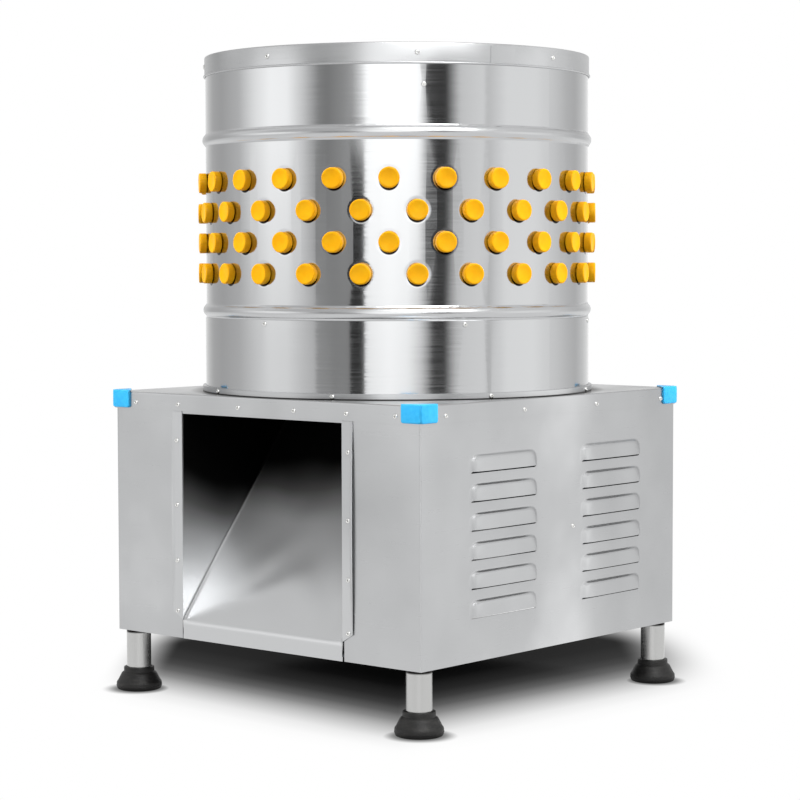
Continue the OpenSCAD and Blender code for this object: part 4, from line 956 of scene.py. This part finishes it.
stand_for(chute_wall("chute_right_wall_sheet"), "chute_right_wall")
stand_for(mirrored(chute_wall("chute_left_wall_sheet")), "chute_left_wall")

# Rim band: folded over the drum's edge, with a rolled lower lip and a lapped end.
BAND_IN, BAND_OUT = 248.9, 252.3
BAND_T = 1.0
BAND_TOP = Z_RIM / MM
BAND_FOOT = BAND_TOP - 25
BAND_HEM = BAND_TOP - 12.5
BAND_STEPS = 160
LIP_R = 1.3
fold_r = (BAND_OUT - BAND_IN) / 2
fold_mid = (BAND_OUT + BAND_IN) / 2
LIP_TURNS = (180, 210, 240, 270, 300, 330, 0, 30, 60, 85, 103)
FOLD_TURNS = (0, 22, 45, 67, 90, 112, 135, 157, 180)


def arc(mid, radius, turns):
    """Points of an arc in the section, from angles in degrees."""
    return [(mid[0] + radius * math.cos(math.radians(turn)), mid[1] + radius * math.sin(math.radians(turn)))
            for turn in turns]


fold_at = (fold_mid, BAND_TOP - fold_r)
section = arc((BAND_OUT - BAND_T + LIP_R, BAND_FOOT), LIP_R, LIP_TURNS) + arc(fold_at, fold_r, FOLD_TURNS)
section += [(BAND_IN, BAND_HEM), (BAND_IN + BAND_T, BAND_HEM)]
section += arc(fold_at, fold_r - BAND_T, reversed(FOLD_TURNS))
rim = spun("rim_hoop", section + section[:1], BAND_STEPS)
LAP_W, LAP_H = 36 * MM, 22 * MM
LAP_COLUMNS = (-13.5, -9, -4.5, 0, 4.5, 9, 13.5)
LAP_R = 253.1 * MM
LAP_TURN = math.radians(-18)
lap = flat_sheet("rim_lap", (LAP_R, 0, Z_RIM - 14 * MM), (0, math.pi / 2, 0), (LAP_H, LAP_W))
cut_across(1, [y * MM for y in LAP_COLUMNS])
press(lap, lambda place: (math.sqrt(LAP_R ** 2 - place.y ** 2) - LAP_R, 0, 0))
thicken(lap, 0)
lap.data.transform(Matrix.Rotation(LAP_TURN, 4, "Z"))
stand_for(joined(rim, lap), "rim_band")

# Corner guards: two sides with rounded edges that meet in a groove at the corner, and a three-cornered top.
GUARD_T, GUARD_TOP_T = 3 * MM, 2 * MM
GUARD_GROOVE = 1.2 * MM
GUARD_ROUND = 1.5 * MM
GUARD_CORNER = 3 * MM
guard_low, guard_high = (Vector(corner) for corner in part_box("guard_rear_right"))


def guard_slab(low, high):
    """A slab between two corners, left in edit mode."""
    low, high = Vector(low), Vector(high)
    bpy.ops.object.select_all(action="DESELECT")
    bpy.ops.mesh.primitive_cube_add(size=1, location=(low + high) / 2)
    piece = bpy.context.object
    piece.scale = high - low
    bpy.ops.object.transform_apply(location=True, rotation=True, scale=True)
    bpy.ops.object.mode_set(mode="EDIT")
    return piece


def guard_side(axis):
    """One side of a guard, whose outer face looks along an axis."""
    low, high = guard_low.copy(), guard_high.copy()
    low[axis] = high[axis] - GUARD_T
    high[1 - axis] -= GUARD_GROOVE
    piece = guard_slab(low, high)
    choose(piece, "edges", lambda place: abs(place[axis] - high[axis] + GUARD_T / 2) < NEAR)
    bpy.ops.mesh.bevel(offset=GUARD_CORNER, segments=3, affect="EDGES")
    choose(piece, "edges", lambda place: place[axis] > high[axis] - NEAR)
    bpy.ops.mesh.bevel(offset=GUARD_ROUND, segments=3, affect="EDGES")
    bpy.ops.object.mode_set(mode="OBJECT")
    return piece


def corner_guard():
    """A guard on the rear right corner."""
    inset = Vector((GUARD_GROOVE, GUARD_GROOVE, 0.2 * MM))
    top = guard_slab((guard_low.x, guard_low.y, guard_high.z - GUARD_TOP_T), guard_high - inset)
    bpy.ops.mesh.select_all(action="SELECT")
    bpy.ops.mesh.bisect(plane_co=(guard_high.x - GUARD_T, guard_low.y, 0), plane_no=(1, 1, 0), use_fill=True,
                        clear_inner=True)
    bpy.ops.object.mode_set(mode="OBJECT")
    whole = joined(top, guard_side(0), guard_side(1))
    bpy.ops.object.shade_smooth_by_angle(angle=TURNED_EDGE)
    return whole


for node, turns in (("rear_right", 0), ("rear_left", 1), ("front_left", 2), ("front_right", 3)):
    cap = copies(f"corner_guard_{node}", corner_guard(), [Matrix.Rotation(turns * math.pi / 2, 4, "Z")])
    stand_for(cap, f"guard_{node}")
